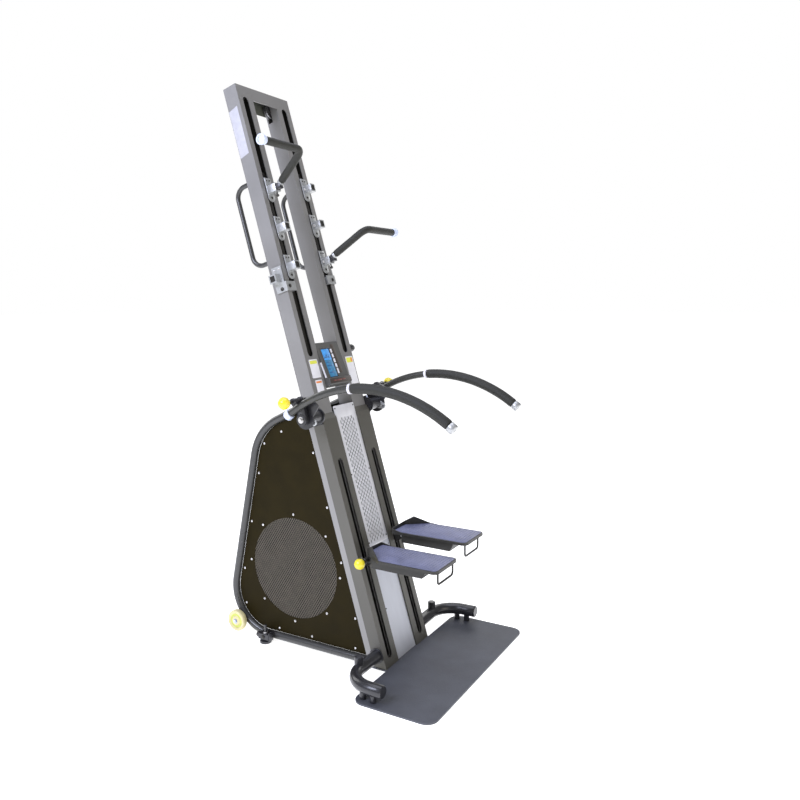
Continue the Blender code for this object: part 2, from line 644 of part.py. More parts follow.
def make_handlebar(name, side):
    """The bent tube, its foam's end caps and ring, the lug it turns on, and the pin's housing."""
    y, z = BAR_PIVOT
    pin_y, pin_z = BAR_PIN
    origin = (side * BAR_X, y, z)
    rear, front = BAR_ENDS
    foam_rear, foam_front = BAR_FOAM
    path = bar_path(side, rear, foam_rear, 7) + bar_path(side, foam_rear, foam_front, 9)[1:]
    path.append(bar_point(side, front))
    bar = part(name + "_handlebar", tube(path, BAR_RADIUS), LOOKS["tube"], None, origin)
    cap = FOAM_RADIUS + 0.0005
    join(bar, rod(bar_point(side, rear), bar_point(side, rear - radians(2.4)), cap, 20))
    join(bar, rod(bar_point(side, foam_front - radians(0.16)), bar_point(side, front), cap, 20))
    ring = bar_point(side, foam_rear + radians(0.16))
    join(bar, rod(ring, bar_point(side, foam_rear + radians(1.1)), FOAM_RADIUS, 20))
    lug = round_link(((y, z, 0.022), (pin_y, pin_z, 0.014)))
    join(bar, slab(lug, *sorted((side * 0.2740, side * 0.2920)), "X"))
    join(bar, rod((side * 0.2686, y, z), (side * 0.2940, y, z), 0.022, 20))
    cut(bar, rod((side * 0.260, y, z), (side * 0.2925, y, z), 0.0096, 16))
    join(bar, rod((side * 0.2735, pin_y, pin_z), (side * 0.335, pin_y, pin_z), 0.011, 16))
    cut(bar, rod((side * 0.268, pin_y, pin_z), (side * 0.34, pin_y, pin_z), 0.0056, 12))
    smooth(bar)
    foam_path = bar_path(side, foam_rear, foam_front, 9)
    foam = part(name + "_handlebar_grip", tube(foam_path, FOAM_RADIUS), LOOKS["foam"], None, origin)
    cut(foam, tube(path, BAR_RADIUS + 0.0005))
    smooth(foam)
    make_pin(name + "_bar_pin", side, None, BAR_KNOB, BAR_KNOB_X, 0.2735, BAR_PIN, 0.010)


def make_bar_bracket(name, side):
    """The plate on the stile, the arm out to the pivot, and the sector that the pin would lock in."""
    y, z = BAR_PIVOT
    xs = (STILE_OUTER + COVER_WALL + 2 * GAP + 0.0001, 0.180)
    plate = side_box(side, xs, (0.001, 0.075), (0.984, 1.060))
    bracket = part(name + "_bar_bracket", plate, LOOKS["black"], MAST)
    join(bracket, rod((side * 0.176, y, z), (side * 0.264, y, z), 0.025, 24))
    arc = [radians(40) + radians(100) * step / 10 for step in range(11)]
    sector = [(y + 0.084 * cos(turn), z + 0.084 * sin(turn)) for turn in arc]
    rest = [radians(160) + radians(220) * step / 12 for step in range(13)]
    sector += [(y + 0.040 * cos(turn), z + 0.040 * sin(turn)) for turn in rest]
    join(bracket, slab(sector, *sorted((side * 0.2620, side * 0.2680)), "X"))
    join(bracket, rod((side * 0.2660, y, z), (side * 0.2918, y, z), 0.009, 16))


def round_link(ends):
    """The outline of a flat link round some (y, z, radius) ends."""
    turns = [2 * pi * step / 20 for step in range(20)]
    return hull([Vector((a + r * cos(turn), b + r * sin(turn))) for a, b, r in ends for turn in turns])


def hull(points):
    """The convex outline round some 2D points, anticlockwise."""
    points = sorted({(round(p.x, 7), round(p.y, 7)) for p in points})

    def half(ordered):
        chain = []
        for p in ordered:
            while len(chain) > 1:
                a, b = chain[-2], chain[-1]
                if (b[0] - a[0]) * (p[1] - a[1]) - (b[1] - a[1]) * (p[0] - a[0]) > 0:
                    break
                chain.pop()
            chain.append(p)
        return chain[:-1]

    return half(points) + half(points[::-1])


# ---- housing behind the mast ----------------------------------------------------------------------
def mast_envelope():
    """All the space in front of the mast's back face, as a cutter in the mast frame."""
    return box((-0.3, -0.4, -0.5), (0.3, STILE_BACK + GAP, MAST_LENGTH + 0.2))


def make_side_tube(name, side):
    corners = [(side * TUBE_X, y, z) for y, z in TUBE_CORNERS]
    frame = part(
        name + "_side_tube", tube(bent(corners, TUBE_BENDS, 7), TUBE_RADIUS, 4), LOOKS["tube"]
    )
    cut(frame, mast_envelope(), MAST)
    y, z = WHEEL_CENTRE
    lug = round_link(((y, z, 0.010), (*LUG, 0.013)))
    join(frame, slab(lug, *sorted((side * 0.162, side * 0.174)), "X"))
    join(frame, rod((side * TUBE_X, y, z), (side * 0.222, y, z), 0.006, 12))
    smooth(frame)


def loop_inset(distance):
    """The side frame's outline moved inward, with its front edge along the mast's back face."""
    start = [TUBE_CORNERS[0], TUBE_CORNERS[1], TUBE_CORNERS[2], TUBE_CORNERS[3]]
    moved = [Vector((p.x, p.y)) for p in inset(start, distance)]
    back = STILE_BACK + 2 * GAP
    lean = tan(LEAN)

    def on_mast(a, b):
        """Where the line through a and b meets the mast's back face."""
        share = (back / cos(LEAN) + a.y * lean - a.x) / ((b.x - a.x) - (b.y - a.y) * lean)
        return a + (b - a) * share

    return [on_mast(moved[0], moved[1]), moved[1], moved[2], on_mast(moved[3], moved[2])]


def make_panel(name, side):
    corners = loop_inset(TUBE_RADIUS + 0.0005)
    radii = [bend - TUBE_RADIUS for bend in TUBE_BENDS]
    outline = [(p.x, p.y) for p in bent(corners, radii, 7)]
    xs = sorted((side * PANEL_X, side * (PANEL_X + 0.0025)))
    panel = part(name + "_side_panel", slab(outline, *xs, "X"), LOOKS["panel"])
    y, z = FAN_CENTRE
    cut(panel, rod((side * 0.12, y, z), (side * 0.18, y, z), GRILLE_OPENING, 40))
    grille = rod((side * (PANEL_X - 0.003), y, z), (side * (PANEL_X - 0.001), y, z), 0.222, 40)
    part(name + "_fan_grille", grille, LOOKS["mesh"])


def make_rear_cover():
    """The bent sheet that closes the housing between its two side frames."""
    runs = []
    for distance in (TUBE_RADIUS + 0.0015, TUBE_RADIUS + 0.0035):
        corners = loop_inset(distance)
        radii = [bend - distance for bend in TUBE_BENDS]
        runs.append([(p.x, p.y) for p in bent(corners, radii, 7)])
    half = PANEL_X - 0.0005
    part("rear_cover", slab(runs[0] + runs[1][::-1], -half, half, "X"), LOOKS["panel"])


def make_fan():
    y, z = FAN_CENTRE
    axle = part(
        "fan_axle", rod((-0.120, y, z), (0.120, y, z), 0.008, 16), LOOKS["black"], None, (0, y, z)
    )
    for side in (-1, 1):
        join(axle, side_box(side, (0.114, 0.120), (0.186, y + 0.03), (z - 0.020, z + 0.020)))
    fan = part(
        "fan_wheel", rod((-0.002, y, z), (0.002, y, z), 0.190, 36), LOOKS["steel"], None, (0, y, z)
    )
    join(fan, rod((-0.035, y, z), (0.045, y, z), 0.032, 20))
    place = Matrix.Translation((0, y, z))
    for index in range(6):
        blade = box((-0.030, -0.182, -0.0015), (0.0, 0.182, 0.0015))
        turn = place @ Matrix.Rotation(pi * index / 6, 4, "X")
        bmesh.ops.transform(blade, matrix=turn, verts=blade.verts)
        join(fan, blade)
    join(fan, rod((0.040, y, z), (0.060, y, z), 0.045, 24))
    cut(fan, rod((-0.05, y, z), (0.07, y, z), 0.0086, 16))


def make_rear_handle(name, side):
    """A D-shaped grab loop on the back of a stile, used to tilt and roll the machine."""
    low, high, reach, x = 1.670, 2.003, 0.156, side * 0.150
    start = STILE_BACK + GAP
    corners = [(x, start, high), (x, reach, high), (x, reach, low), (x, start, low)]
    loop = tube(bent(corners, (0.045, 0.045), 5), 0.0098, 3)
    smooth(part(name + "_rear_handle", loop, LOOKS["tube"], MAST))


# ---- base ----------------------------------------------------------------------------------------
def make_platform():
    """The mat's outline, with a tongue that runs back under the mast's foot."""
    wide, front, tongue = PLATFORM_HALF_WIDTH, -PLATFORM_DEPTH, 0.176
    corners = [(0, front, 0), (wide, front, 0), (wide, 0, 0), (tongue, 0, 0)]
    right = [(p.x, p.y) for p in bent(corners, (0.045, 0.045), 6)] + [(tongue, 0.090)]
    left = [(-x, y) for x, y in right[:0:-1]]
    part("platform_plate", slab(right + left, 0, PLATFORM_THICKNESS), LOOKS["mat"])


def make_base_arm(name, side):
    """A curved foot tube from the stile's side, standing on the platform by two short posts."""
    corners = [(side * x, y, ARM_HEIGHT) for x, y in ((0.150, 0.045), (0.398, 0.048), (0.402, -0.118))]
    arm = part(name + "_base_arm", tube(bent(corners, (0.11,), 8), ARM_RADIUS, 5), LOOKS["black"])
    side_face = STILE_OUTER + COVER_WALL + 3 * GAP
    cut(arm, side_box(side, (0.10, side_face), (-0.2, 0.3), (-0.1, 0.3)))
    join(arm, rod((side * 0.300, 0.048, ARM_HEIGHT), (side * 0.300, 0.048, 0.104), 0.0165, 16))
    for x, y in ((0.397, -0.030), (0.401, -0.075)):
        foot = (side * x, y, PLATFORM_THICKNESS + GAP)
        join(arm, rod(foot, (side * x, y, ARM_HEIGHT), 0.012, 14))
    smooth(arm)


def make_wheel(name, side):
    """A transport wheel, just clear of the floor until the machine is tilted back."""
    centre = (side * 0.205, *WHEEL_CENTRE)
    rim, half = WHEEL_RADIUS, 0.0145
    profile = [(0.0068, half), (0.018, half), (0.024, half - 0.004), (rim - 0.012, half - 0.004)]
    profile += [(rim - 0.006, half - 0.001), (rim, half - 0.006), (rim, 0.006 - half)]
    profile += [(rim - 0.006, 0.001 - half), (0.018, 0.001 - half), (0.0068, -half)]
    place = Matrix.Translation(centre) @ AXIS_X
    wheel = turned(profile, place, 24, closed=True)
    smooth(part(name + "_transport_wheel", wheel, LOOKS["cream"], None, centre))


def make_foot(name, side):
    """A levelling foot, and the clamp that holds it on the side frame's bottom run."""
    x, y = FOOT
    saddle = side_box(side, (0.171, 0.219), (0.545, 0.597), (0.017, 0.040))
    clamp = part(name + "_foot_clamp", saddle, LOOKS["black"])
    corners = [(side * TUBE_X, *corner) for corner in TUBE_CORNERS]
    cut(clamp, tube(bent(corners, TUBE_BENDS, 7), TUBE_RADIUS + 2 * GAP, 4))
    cut(clamp, rod((side * x, y, 0.0), (side * x, y, 0.1), 0.0066, 16))
    profile = [(0, 0.075), (0.006, 0.075), (0.006, 0.016), (0.012, 0.014), (0.024, 0.010)]
    profile += [(0.025, 0.002), (0.023, 0.0), (0, 0.0)]
    foot = turned(profile, Matrix.Translation((side * x, y, 0)), 20)
    smooth(part(name + "_leveling_foot", foot, LOOKS["black"], None, (side * x, y, 0)))


def make_all():
    make_mast()
    make_idlers_and_chain()
    make_platform()
    make_rear_cover()
    make_fan()
    for name, side in SIDES:
        make_carriage(name, side, 2 if side < 0 else 0)
        make_bar_bracket(name, side)
        make_handlebar(name, side)
        make_side_tube(name, side)
        make_panel(name, side)
        make_rear_handle(name, side)
        make_base_arm(name, side)
        make_wheel(name, side)
        make_foot(name, side)


clear_scene()
PARTS = new_collection("ladder_climber")
TOOLS = new_collection("tools")
LOOKS = make_looks()
MAST = empty("mast_frame", None, (0, 0, 0), -LEAN)
make_all()
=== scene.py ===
"""Looks of the vertical ladder climber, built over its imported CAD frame.

Metres, +Z up, the row frame. The leaning mast has its own frame, MAST, with x across, y as depth behind
its front face and z as height along it. Each carriage, pedal and the console have frames of their own.
"""
from math import cos, pi, radians, sin, sqrt, tan

import bmesh
import bpy
from mathutils import Matrix, Vector, noise


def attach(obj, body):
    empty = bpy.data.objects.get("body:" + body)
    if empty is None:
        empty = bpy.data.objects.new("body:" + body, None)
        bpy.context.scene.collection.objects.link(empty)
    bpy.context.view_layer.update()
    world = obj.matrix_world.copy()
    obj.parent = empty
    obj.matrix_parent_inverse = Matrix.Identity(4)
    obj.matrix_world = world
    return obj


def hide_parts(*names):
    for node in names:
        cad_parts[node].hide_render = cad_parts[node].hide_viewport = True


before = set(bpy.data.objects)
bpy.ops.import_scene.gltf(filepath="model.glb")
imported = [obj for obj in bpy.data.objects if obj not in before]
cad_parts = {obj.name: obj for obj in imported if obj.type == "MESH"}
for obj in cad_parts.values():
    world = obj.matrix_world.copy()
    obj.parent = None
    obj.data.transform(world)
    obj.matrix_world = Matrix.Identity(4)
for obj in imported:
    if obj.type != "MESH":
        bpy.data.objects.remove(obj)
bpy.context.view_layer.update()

# ---- dimensions shared with the CAD --------------------------------------------------------------
GAP = 0.0003
LEAN = radians(16.5)
SIDES = (("left", -1), ("right", 1))
STILE_OUTER = 0.171
STILE_FRONT, STILE_BACK = 0.011, 0.077
SLOT_X = 0.127
UPPER_SLOT, LOWER_SLOT = (1.258, 2.352), (0.039, 0.838)
CLIMB_OFFSET = 0.0145
SOCKET_HEIGHTS = (1.642, 1.803, 1.965)
SOCKET_SIZE, SOCKET_BORE, TAB_LENGTH, TAB_FRONT = 0.034, 0.0235, 0.100, 0.0039
HANDLE_TUBE, HANDLE_FOAM, FOAM_RADIUS = 0.011, 0.015, 0.019
HANDLE_BEND, HANDLE_END = (0.164, -0.213, 0.077), 0.412
IDLER_HEIGHT, IDLER_X, IDLER_DEPTH = 2.352, 0.0925, 0.060
CHAIN_RADIUS, CHAIN_END, CHAIN_PITCH = 0.0325, 1.752, 0.009525
PEDAL_TOP, PEDAL_PIVOT, PEDAL_PIN = 0.467, (0.080, 0.4365), (0.103, 0.4345)
PEDAL_KNOB_X, PEDAL_KNOB, PEDAL_PIN_TIP = 0.207, 0.021, 0.153
BAR_X, BAR_RADIUS, BAR_ARC = 0.300, 0.014, (0.006, 0.552, 0.560)
BAR_ENDS = (radians(39.5), radians(-38.7))
BAR_FOAM = (radians(6.1), radians(-36.0))
BAR_PIVOT, BAR_PIN = (0.300, 0.975), (0.309, 1.050)
BAR_KNOB_X, BAR_KNOB, BAR_PIN_TIP = 0.385, 0.0235, 0.2735
TUBE_X, TUBE_RADIUS = 0.168, 0.016
TUBE_CORNERS = ((0.02, 0.0245), (0.7965, 0.0245), (0.6136, 0.8964), (0.3313, 1.0304))
TUBE_BENDS = (0.178, 0.22)
LUG = (0.7061, 0.0797)
FAN_CENTRE, PANEL_X, GRILLE_RADIUS, GRILLE_OPENING = (0.445, 0.329), 0.160, 0.222, 0.211
ARM_RADIUS, ARM_HEIGHT, ARM_BEND = 0.024, 0.054, 0.11
WHEEL_CENTRE, WHEEL_X, WHEEL_RADIUS = (0.722, 0.0645), 0.205, 0.045
PLATFORM_THICKNESS = 0.006
FOOT = (0.203, 0.571)
ARM_CORNERS = ((0.150, 0.045), (0.398, 0.048), (0.402, -0.118))

# ---- studio --------------------------------------------------------------------------------------
FLOOR_REACH, FLOOR_GLOW = 60, 0.85
SURROUND_LIGHT = 0.28  # of the white surround, as it lights the machine; the camera sees it at 1

MAST = Matrix.Rotation(-LEAN, 4, "X")
CONSOLE = MAST @ Matrix.Translation((0, 0.003, 1.225)) @ Matrix.Rotation(radians(-7), 4, "X")
ALONG_X = Matrix.Rotation(pi / 2, 4, "Y")
TO_FRONT = Matrix.Rotation(pi / 2, 4, "X")
TO_SIDE = Matrix(((0, 0, 1, 0), (1, 0, 0, 0), (0, 1, 0, 0), (0, 0, 0, 1)))  # x, y, z become y, z, x


def carriage(side):
    """The mast frame, moved with one carriage."""
    return MAST @ Matrix.Translation((0, 0, side * CLIMB_OFFSET))


def level(side):
    """The row frame, moved with one carriage."""
    shift = side * CLIMB_OFFSET
    return Matrix.Translation((0, shift * sin(LEAN), shift * cos(LEAN)))


# ---- materials -----------------------------------------------------------------------------------
def surface(name, colour, rough, metal=0.0, grain=(900, 0.05), patch=(9, 0.06), stretch=(1, 1, 1),
            coat=0.0, sheen=0.0, cells=False, shine=0.5):
    """A finish with patchy colour and roughness, and a fine grain in its relief."""
    made = bpy.data.materials.new(name)
    made.use_nodes = True
    nodes, links = made.node_tree.nodes, made.node_tree.links
    shader = nodes["Principled BSDF"]
    coords = nodes.new("ShaderNodeTexCoord")
    mapping = nodes.new("ShaderNodeMapping")
    mapping.inputs["Scale"].default_value = stretch
    links.new(coords.outputs["Object"], mapping.inputs["Vector"])
    broad = nodes.new("ShaderNodeTexNoise")
    broad.inputs["Scale"].default_value = patch[0]
    broad.inputs["Detail"].default_value = 5
    links.new(mapping.outputs["Vector"], broad.inputs["Vector"])
    ramp = nodes.new("ShaderNodeValToRGB")
    for element, share in zip(ramp.color_ramp.elements, (1 - patch[1], 1 + patch[1])):
        element.color = (*[min(1, part * share) for part in colour], 1)
    ramp.color_ramp.elements[0].position = 0.3
    ramp.color_ramp.elements[1].position = 0.7
    links.new(broad.outputs["Fac"], ramp.inputs["Fac"])
    links.new(ramp.outputs["Color"], shader.inputs["Base Color"])
    span = nodes.new("ShaderNodeMapRange")
    span.inputs["To Min"].default_value = max(0.02, rough - 0.06)
    span.inputs["To Max"].default_value = min(1, rough + 0.06)
    links.new(broad.outputs["Fac"], span.inputs["Value"])
    links.new(span.outputs["Result"], shader.inputs["Roughness"])
    fine = nodes.new("ShaderNodeTexVoronoi" if cells else "ShaderNodeTexNoise")
    fine.inputs["Scale"].default_value = grain[0]
    links.new(mapping.outputs["Vector"], fine.inputs["Vector"])
    bump = nodes.new("ShaderNodeBump")
    bump.inputs["Strength"].default_value = grain[1]
    bump.inputs["Distance"].default_value = 0.0006
    links.new(fine.outputs[0], bump.inputs["Height"])
    links.new(bump.outputs["Normal"], shader.inputs["Normal"])
    shader.inputs["Metallic"].default_value = metal
    shader.inputs["Specular IOR Level"].default_value = shine
    shader.inputs["Coat Weight"].default_value = coat
    shader.inputs["Coat Roughness"].default_value = 0.12
    shader.inputs["Sheen Weight"].default_value = sheen
    return made


FINISH = {
    "mast": surface("mast_paint", (0.245, 0.240, 0.235), 0.36, 0.35, (1400, 0.06), (5, 0.05), coat=0.35),
    "cover": surface("cover_paint", (0.090, 0.086, 0.072), 0.38, 0.15, (1400, 0.06), (4, 0.08), coat=0.08,
                     shine=0.6),
    "tube": surface("tube_paint", (0.055, 0.055, 0.053), 0.28, 0.25, (1400, 0.05), (7, 0.06), coat=0.15),
    "bar": surface("bar_paint", (0.050, 0.050, 0.045), 0.28, 0.20, (1400, 0.04), (7, 0.05), coat=0.08),
    "black": surface("black_paint", (0.020, 0.020, 0.023), 0.30, 0.0, (1300, 0.08), (12, 0.2), coat=0.3),
    # Near black: the own colour of plugs and dark parts, and painted slot shade on the rack strips.
    "dark": surface("black_and_painted_slot_shade", (0.008, 0.007, 0.004), 0.75, 0.0, (800, 0.1), (20, 0.2)),
    "panel": surface("panel_paint", (0.017, 0.0125, 0.003), 0.6, 0.0, (700, 0.12), (14, 0.14), shine=0.07),
    "mesh": surface("grille_metal", (0.125, 0.108, 0.083), 0.42, 0.4, (900, 0.1), (30, 0.15)),
    "bright": surface("bright_sheet", (0.80, 0.80, 0.84), 0.34, 0.35, (260, 0.05), (40, 0.05), (1, 1, 0.08)),
    "backing": surface("backing_sheet", (0.16, 0.17, 0.14), 0.5, 0.3, (500, 0.1), (60, 0.2)),
    "kick": surface("kick_sheet", (0.58, 0.60, 0.66), 0.38, 0.4, (260, 0.05), (22, 0.06), (1, 1, 0.1)),
    "silver": surface("silver_bracket", (0.46, 0.47, 0.47), 0.34, 0.6, (600, 0.08), (60, 0.1)),
    "screw": surface("screw_zinc", (0.66, 0.65, 0.64), 0.28, 0.9, (800, 0.1), (150, 0.15)),
    "screw_dark": surface("screw_black", (0.05, 0.047, 0.042), 0.35, 0.6, (800, 0.1), (150, 0.2)),
    "foam": surface("foam_rubber", (0.012, 0.012, 0.008), 0.62, 0.0, (620, 0.4), (18, 0.2), sheen=0.06,
                    cells=True),
    "tread": surface("tread_plastic", (0.022, 0.021, 0.017), 0.46, 0.0, (520, 0.35), (16, 0.15), cells=True),
    "grip": surface("grip_mat", (0.155, 0.165, 0.270), 0.42, 0.0, (480, 0.5), (22, 0.18), cells=True),
    "plastic": surface("console_plastic", (0.085, 0.085, 0.08), 0.5, 0, (900, 0.25), (14, 0.08), cells=True),
    "lip": surface("console_lip", (0.055, 0.042, 0.034), 0.42, 0.0, (900, 0.2), (25, 0.12), cells=True),
    "lcd_edge": surface("lcd_edge", (0.028, 0.062, 0.13), 0.2, 0.0, (900, 0.02), (60, 0.1), coat=0.6),
    "lcd_top": surface("lcd_top", (0.075, 0.38, 0.95), 0.18, 0.0, (900, 0.02), (45, 0.16), coat=0.6),
    "lcd_low": surface("lcd_low", (0.045, 0.24, 0.46), 0.18, 0.0, (900, 0.02), (45, 0.16), coat=0.6),
    "lcd_mark": surface("lcd_mark", (0.03, 0.14, 0.34), 0.2, 0.0, (900, 0.02), (80, 0.2), coat=0.6),
    "white": surface("white_plastic", (0.78, 0.77, 0.82), 0.35, 0.0, (900, 0.1), (40, 0.04)),
    "label": surface("label_white", (0.83, 0.83, 0.87), 0.4, 0.0, (900, 0.03), (60, 0.03)),
    "label_yellow": surface("label_yellow", (0.80, 0.82, 0.10), 0.4, 0.0, (900, 0.03), (60, 0.06)),
    "label_orange": surface("label_orange", (0.86, 0.28, 0.07), 0.4, 0.0, (900, 0.03), (60, 0.06)),
    "label_grey": surface("label_grey", (0.42, 0.42, 0.46), 0.4, 0.0, (900, 0.03), (60, 0.06)),
    "reddish": surface("mark_red", (0.22, 0.07, 0.06), 0.4, 0.0, (900, 0.05), (60, 0.1)),
    "yellow": surface("yellow_knob", (0.84, 0.70, 0.03), 0.24, 0.0, (500, 0.03), (30, 0.06), coat=0.5),
    "cream": surface("cream_rubber", (0.70, 0.63, 0.34), 0.5, 0.0, (700, 0.2), (30, 0.08), cells=True),
    "chain": surface("chain_steel", (0.16, 0.15, 0.14), 0.36, 0.9, (900, 0.1), (120, 0.25)),
    "steel": surface("fan_steel", (0.36, 0.36, 0.37), 0.36, 0.9, (500, 0.06), (40, 0.1)),
    "mat": surface("platform_mat", (0.075, 0.080, 0.095), 0.55, 0.0, (330, 0.6), (10, 0.16), cells=True),
    "lime": surface("wheel_recess", (0.55, 0.60, 0.12), 0.45, 0.0, (700, 0.1), (30, 0.08)),
    "hub": surface("hub_zinc", (0.50, 0.55, 0.70), 0.30, 0.8, (800, 0.1), (150, 0.15)),
    # Silver end caps coloured pale blue: the blue is a painted reflection of the bluish key light over the
    # caps' own silver.
    "cap_painted_blue_light": surface("silver_cap_painted_blue_light", (0.62, 0.68, 0.85), 0.35, 0.0, (900, 0.1), (40, 0.04)),
    "floor": surface("studio_floor", (0.93, 0.93, 0.93), 0.7, 0.0, (60, 0.01), (2, 0.004)),
}
glow = FINISH["floor"].node_tree.nodes["Principled BSDF"]
glow.inputs["Emission Color"].default_value = (1, 1, 1, 1)
glow.inputs["Emission Strength"].default_value = FLOOR_GLOW


# ---- shapes --------------------------------------------------------------------------------------
def moved(shape, matrix):
    bmesh.ops.transform(shape, matrix=matrix, verts=shape.verts)
    return shape


def together(shapes):
    """Merges shapes into the first one."""
    shapes = list(shapes)
    for other in shapes[1:]:
        mesh = bpy.data.meshes.new("passing")
        other.to_mesh(mesh)
        shapes[0].from_mesh(mesh)
        other.free()
        bpy.data.meshes.remove(mesh)
    return shapes[0]


def block(low, high, edge=0.0008, steps=2):
    """A box with rounded edges."""
    shape = bmesh.new()
    bmesh.ops.create_cube(shape, size=1)
    size = [abs(b - a) for a, b in zip(low, high)]
    centre = [(a + b) / 2 for a, b in zip(low, high)]
    moved(shape, Matrix.Translation(centre) @ Matrix.Diagonal((*size, 1)))
    if edge:
        edge = min(edge, min(size) * 0.45)
        edges = shape.edges[:]
        bmesh.ops.bevel(shape, geom=edges, offset=edge, segments=steps, profile=0.5, affect="EDGES")
    return shape


def skin(shape, rings, closed=False):
    """Faces between rings of vertices. A ring may be one vertex."""
    pairs = list(zip(rings, rings[1:])) + ([(rings[-1], rings[0])] if closed else [])
    for a, b in pairs:
        count = max(len(a), len(b))
        for i in range(count):
            j = (i + 1) % count
            corners = [a[i % len(a)], a[j % len(a)], b[j % len(b)], b[i % len(b)]]
            corners = list(dict.fromkeys(corners))
            if len(corners) > 2:
                shape.faces.new(corners)
    return shape


def capped(shape, rings):
    """Faces between open rings and over both ends."""
    skin(shape, rings)
    shape.faces.new(rings[0][::-1])
    shape.faces.new(rings[-1])
    return shape


def lathe(profile, sides=32, closed=False, flutes=None):
    """A profile of (radius, height) turned round Z. Flutes are (count, share of the radius)."""
    shape = bmesh.new()
    rings = []
    for radius, height in profile:
        if radius < 1e-6:
            rings.append([shape.verts.new((0, 0, height))])
            continue
        ring = []
        for step in range(sides):
            turn = 2 * pi * step / sides
            scale = 1 - (flutes[1] * (0.5 - 0.5 * cos(flutes[0] * turn)) if flutes else 0)
            ring.append(shape.verts.new((radius * scale * cos(turn), radius * scale * sin(turn), height)))
        rings.append(ring)
    return skin(shape, rings, closed)


def sweep(points, radius, sides=24, rough=0.0):
    """A round tube along points. The radius is a number, or one for each point."""
    points = [Vector(p) for p in points]
    radii = radius if isinstance(radius, (list, tuple)) else [radius] * len(points)
    shape = bmesh.new()
    across = None
    rings = []
    for index, point in enumerate(points):
        before, after = points[max(0, index - 1)], points[min(len(points) - 1, index + 1)]
        along = (after - before).normalized()
        if across is None:
            across = along.orthogonal().normalized()
        across = (across - along * across.dot(along)).normalized()
        other = along.cross(across)
        ring = []
        for step in range(sides):
            turn = 2 * pi * step / sides
            out = across * cos(turn) + other * sin(turn)
            reach = radii[index]
            if rough:
                reach += rough * noise.noise((point + out * reach) * 90)
            ring.append(shape.verts.new(point + out * reach))
        rings.append(ring)
    return capped(shape, rings)


def bent(corners, bends, steps=14):
    """A path with straight runs between its corners and an arc of each bend radius."""
    corners = [Vector(corner) for corner in corners]
    points = [corners[0]]
    for before, corner, after, bend in zip(corners, corners[1:], corners[2:], bends):
        to_start, to_end = (before - corner).normalized(), (after - corner).normalized()
        half = to_start.angle(to_end) / 2
        centre = corner + (to_start + to_end).normalized() * (bend / sin(half))
        first = corner + to_start * (bend / tan(half)) - centre
        last = corner + to_end * (bend / tan(half)) - centre
        points += [centre + first.slerp(last, step / steps) * bend for step in range(steps + 1)]
    return points + [corners[-1]]


def finely(points, spacing):
    """The same path with points no further apart than the spacing."""
    made = [Vector(points[0])]
    for point in points[1:]:
        start, end = made[-1], Vector(point)
        count = max(1, round((end - start).length / spacing))
        made += [start.lerp(end, (step + 1) / count) for step in range(count)]
    return made


def plate(outline, low, high, edge=0.0004, holes=()):
    """A flat plate in the XY plane with round edges and holes, from low to high."""
    curve = bpy.data.curves.new("passing", "CURVE")
    curve.dimensions = "2D"
    curve.fill_mode = "BOTH"
    curve.extrude = (high - low) / 2 - edge
    curve.bevel_depth = edge
    curve.bevel_resolution = 1
    curve.offset = -edge
    for loop in (outline, *holes):
        spline = curve.splines.new("POLY")
        spline.points.add(len(loop) - 1)
        for point, (a, b) in zip(spline.points, loop):
            point.co = (a, b, 0, 1)
        spline.use_cyclic_u = True
    holder = bpy.data.objects.new("passing", curve)
    mesh = bpy.data.meshes.new_from_object(holder)
    shape = bmesh.new()
    shape.from_mesh(mesh)
    bmesh.ops.remove_doubles(shape, verts=shape.verts, dist=1e-6)
    bpy.data.objects.remove(holder)
    bpy.data.curves.remove(curve)
    bpy.data.meshes.remove(mesh)
    return moved(shape, Matrix.Translation((0, 0, (low + high) / 2)))


def prism(outline, low, high):
    """An outline in the XY plane, straight up from low to high."""
    shape = bmesh.new()
    rings = [[shape.verts.new((a, b, height)) for a, b in outline] for height in (low, high)]
    return capped(shape, rings)


def oblong(low, high, corner, steps=5):
    """A rectangle with round corners."""
    centres = ((high[0] - corner, high[1] - corner), (low[0] + corner, high[1] - corner),
               (low[0] + corner, low[1] + corner), (high[0] - corner, low[1] + corner))
    points = []
    for quarter, (a, b) in enumerate(centres):
        for step in range(steps + 1):
            turn = pi / 2 * (quarter + step / steps)
            points.append((a + corner * cos(turn), b + corner * sin(turn)))
    return points


def circle(centre, radius, count=32):
    turns = [2 * pi * step / count for step in range(count)]
    return [(centre[0] + radius * cos(turn), centre[1] + radius * sin(turn)) for turn in turns]


def hull(points):
    """The convex outline round some 2D points, anticlockwise."""
    points = sorted(set((round(a, 7), round(b, 7)) for a, b in points))

    def half(ordered):
        chain = []
        for p in ordered:
            while len(chain) > 1:
                a, b = chain[-2], chain[-1]
                if (b[0] - a[0]) * (p[1] - a[1]) - (b[1] - a[1]) * (p[0] - a[0]) > 0:
                    break
                chain.pop()
            chain.append(p)
        return chain[:-1]

    return half(points) + half(points[::-1])


def trimmed(shape, point, normal):
    """Cuts off what lies behind a plane, and closes the cut."""
    geometry = shape.verts[:] + shape.edges[:] + shape.faces[:]
    cut = bmesh.ops.bisect_plane(shape, geom=geometry, plane_co=point, plane_no=normal, clear_inner=True)
    edges = [item for item in cut["geom_cut"] if isinstance(item, bmesh.types.BMEdge)]
    bmesh.ops.edgeloop_fill(shape, edges=edges)
    return shape


def piece(name, shape, finish, body, hides=(), smooth=42):
    """Turns a shape in the row frame into a piece that rides on a body."""
    bmesh.ops.recalc_face_normals(shape, faces=shape.faces)
    mesh = bpy.data.meshes.new(name)
    shape.to_mesh(mesh)
    shape.free()
    mesh.polygons.foreach_set("use_smooth", [True] * len(mesh.polygons))
    mesh.set_sharp_from_angle(angle=radians(smooth))
    mesh.materials.append(FINISH[finish])
    made = bpy.data.objects.new(name, mesh)
    bpy.context.scene.collection.objects.link(made)
    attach(made, body)
    if hides:
        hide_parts(*hides)
    return made


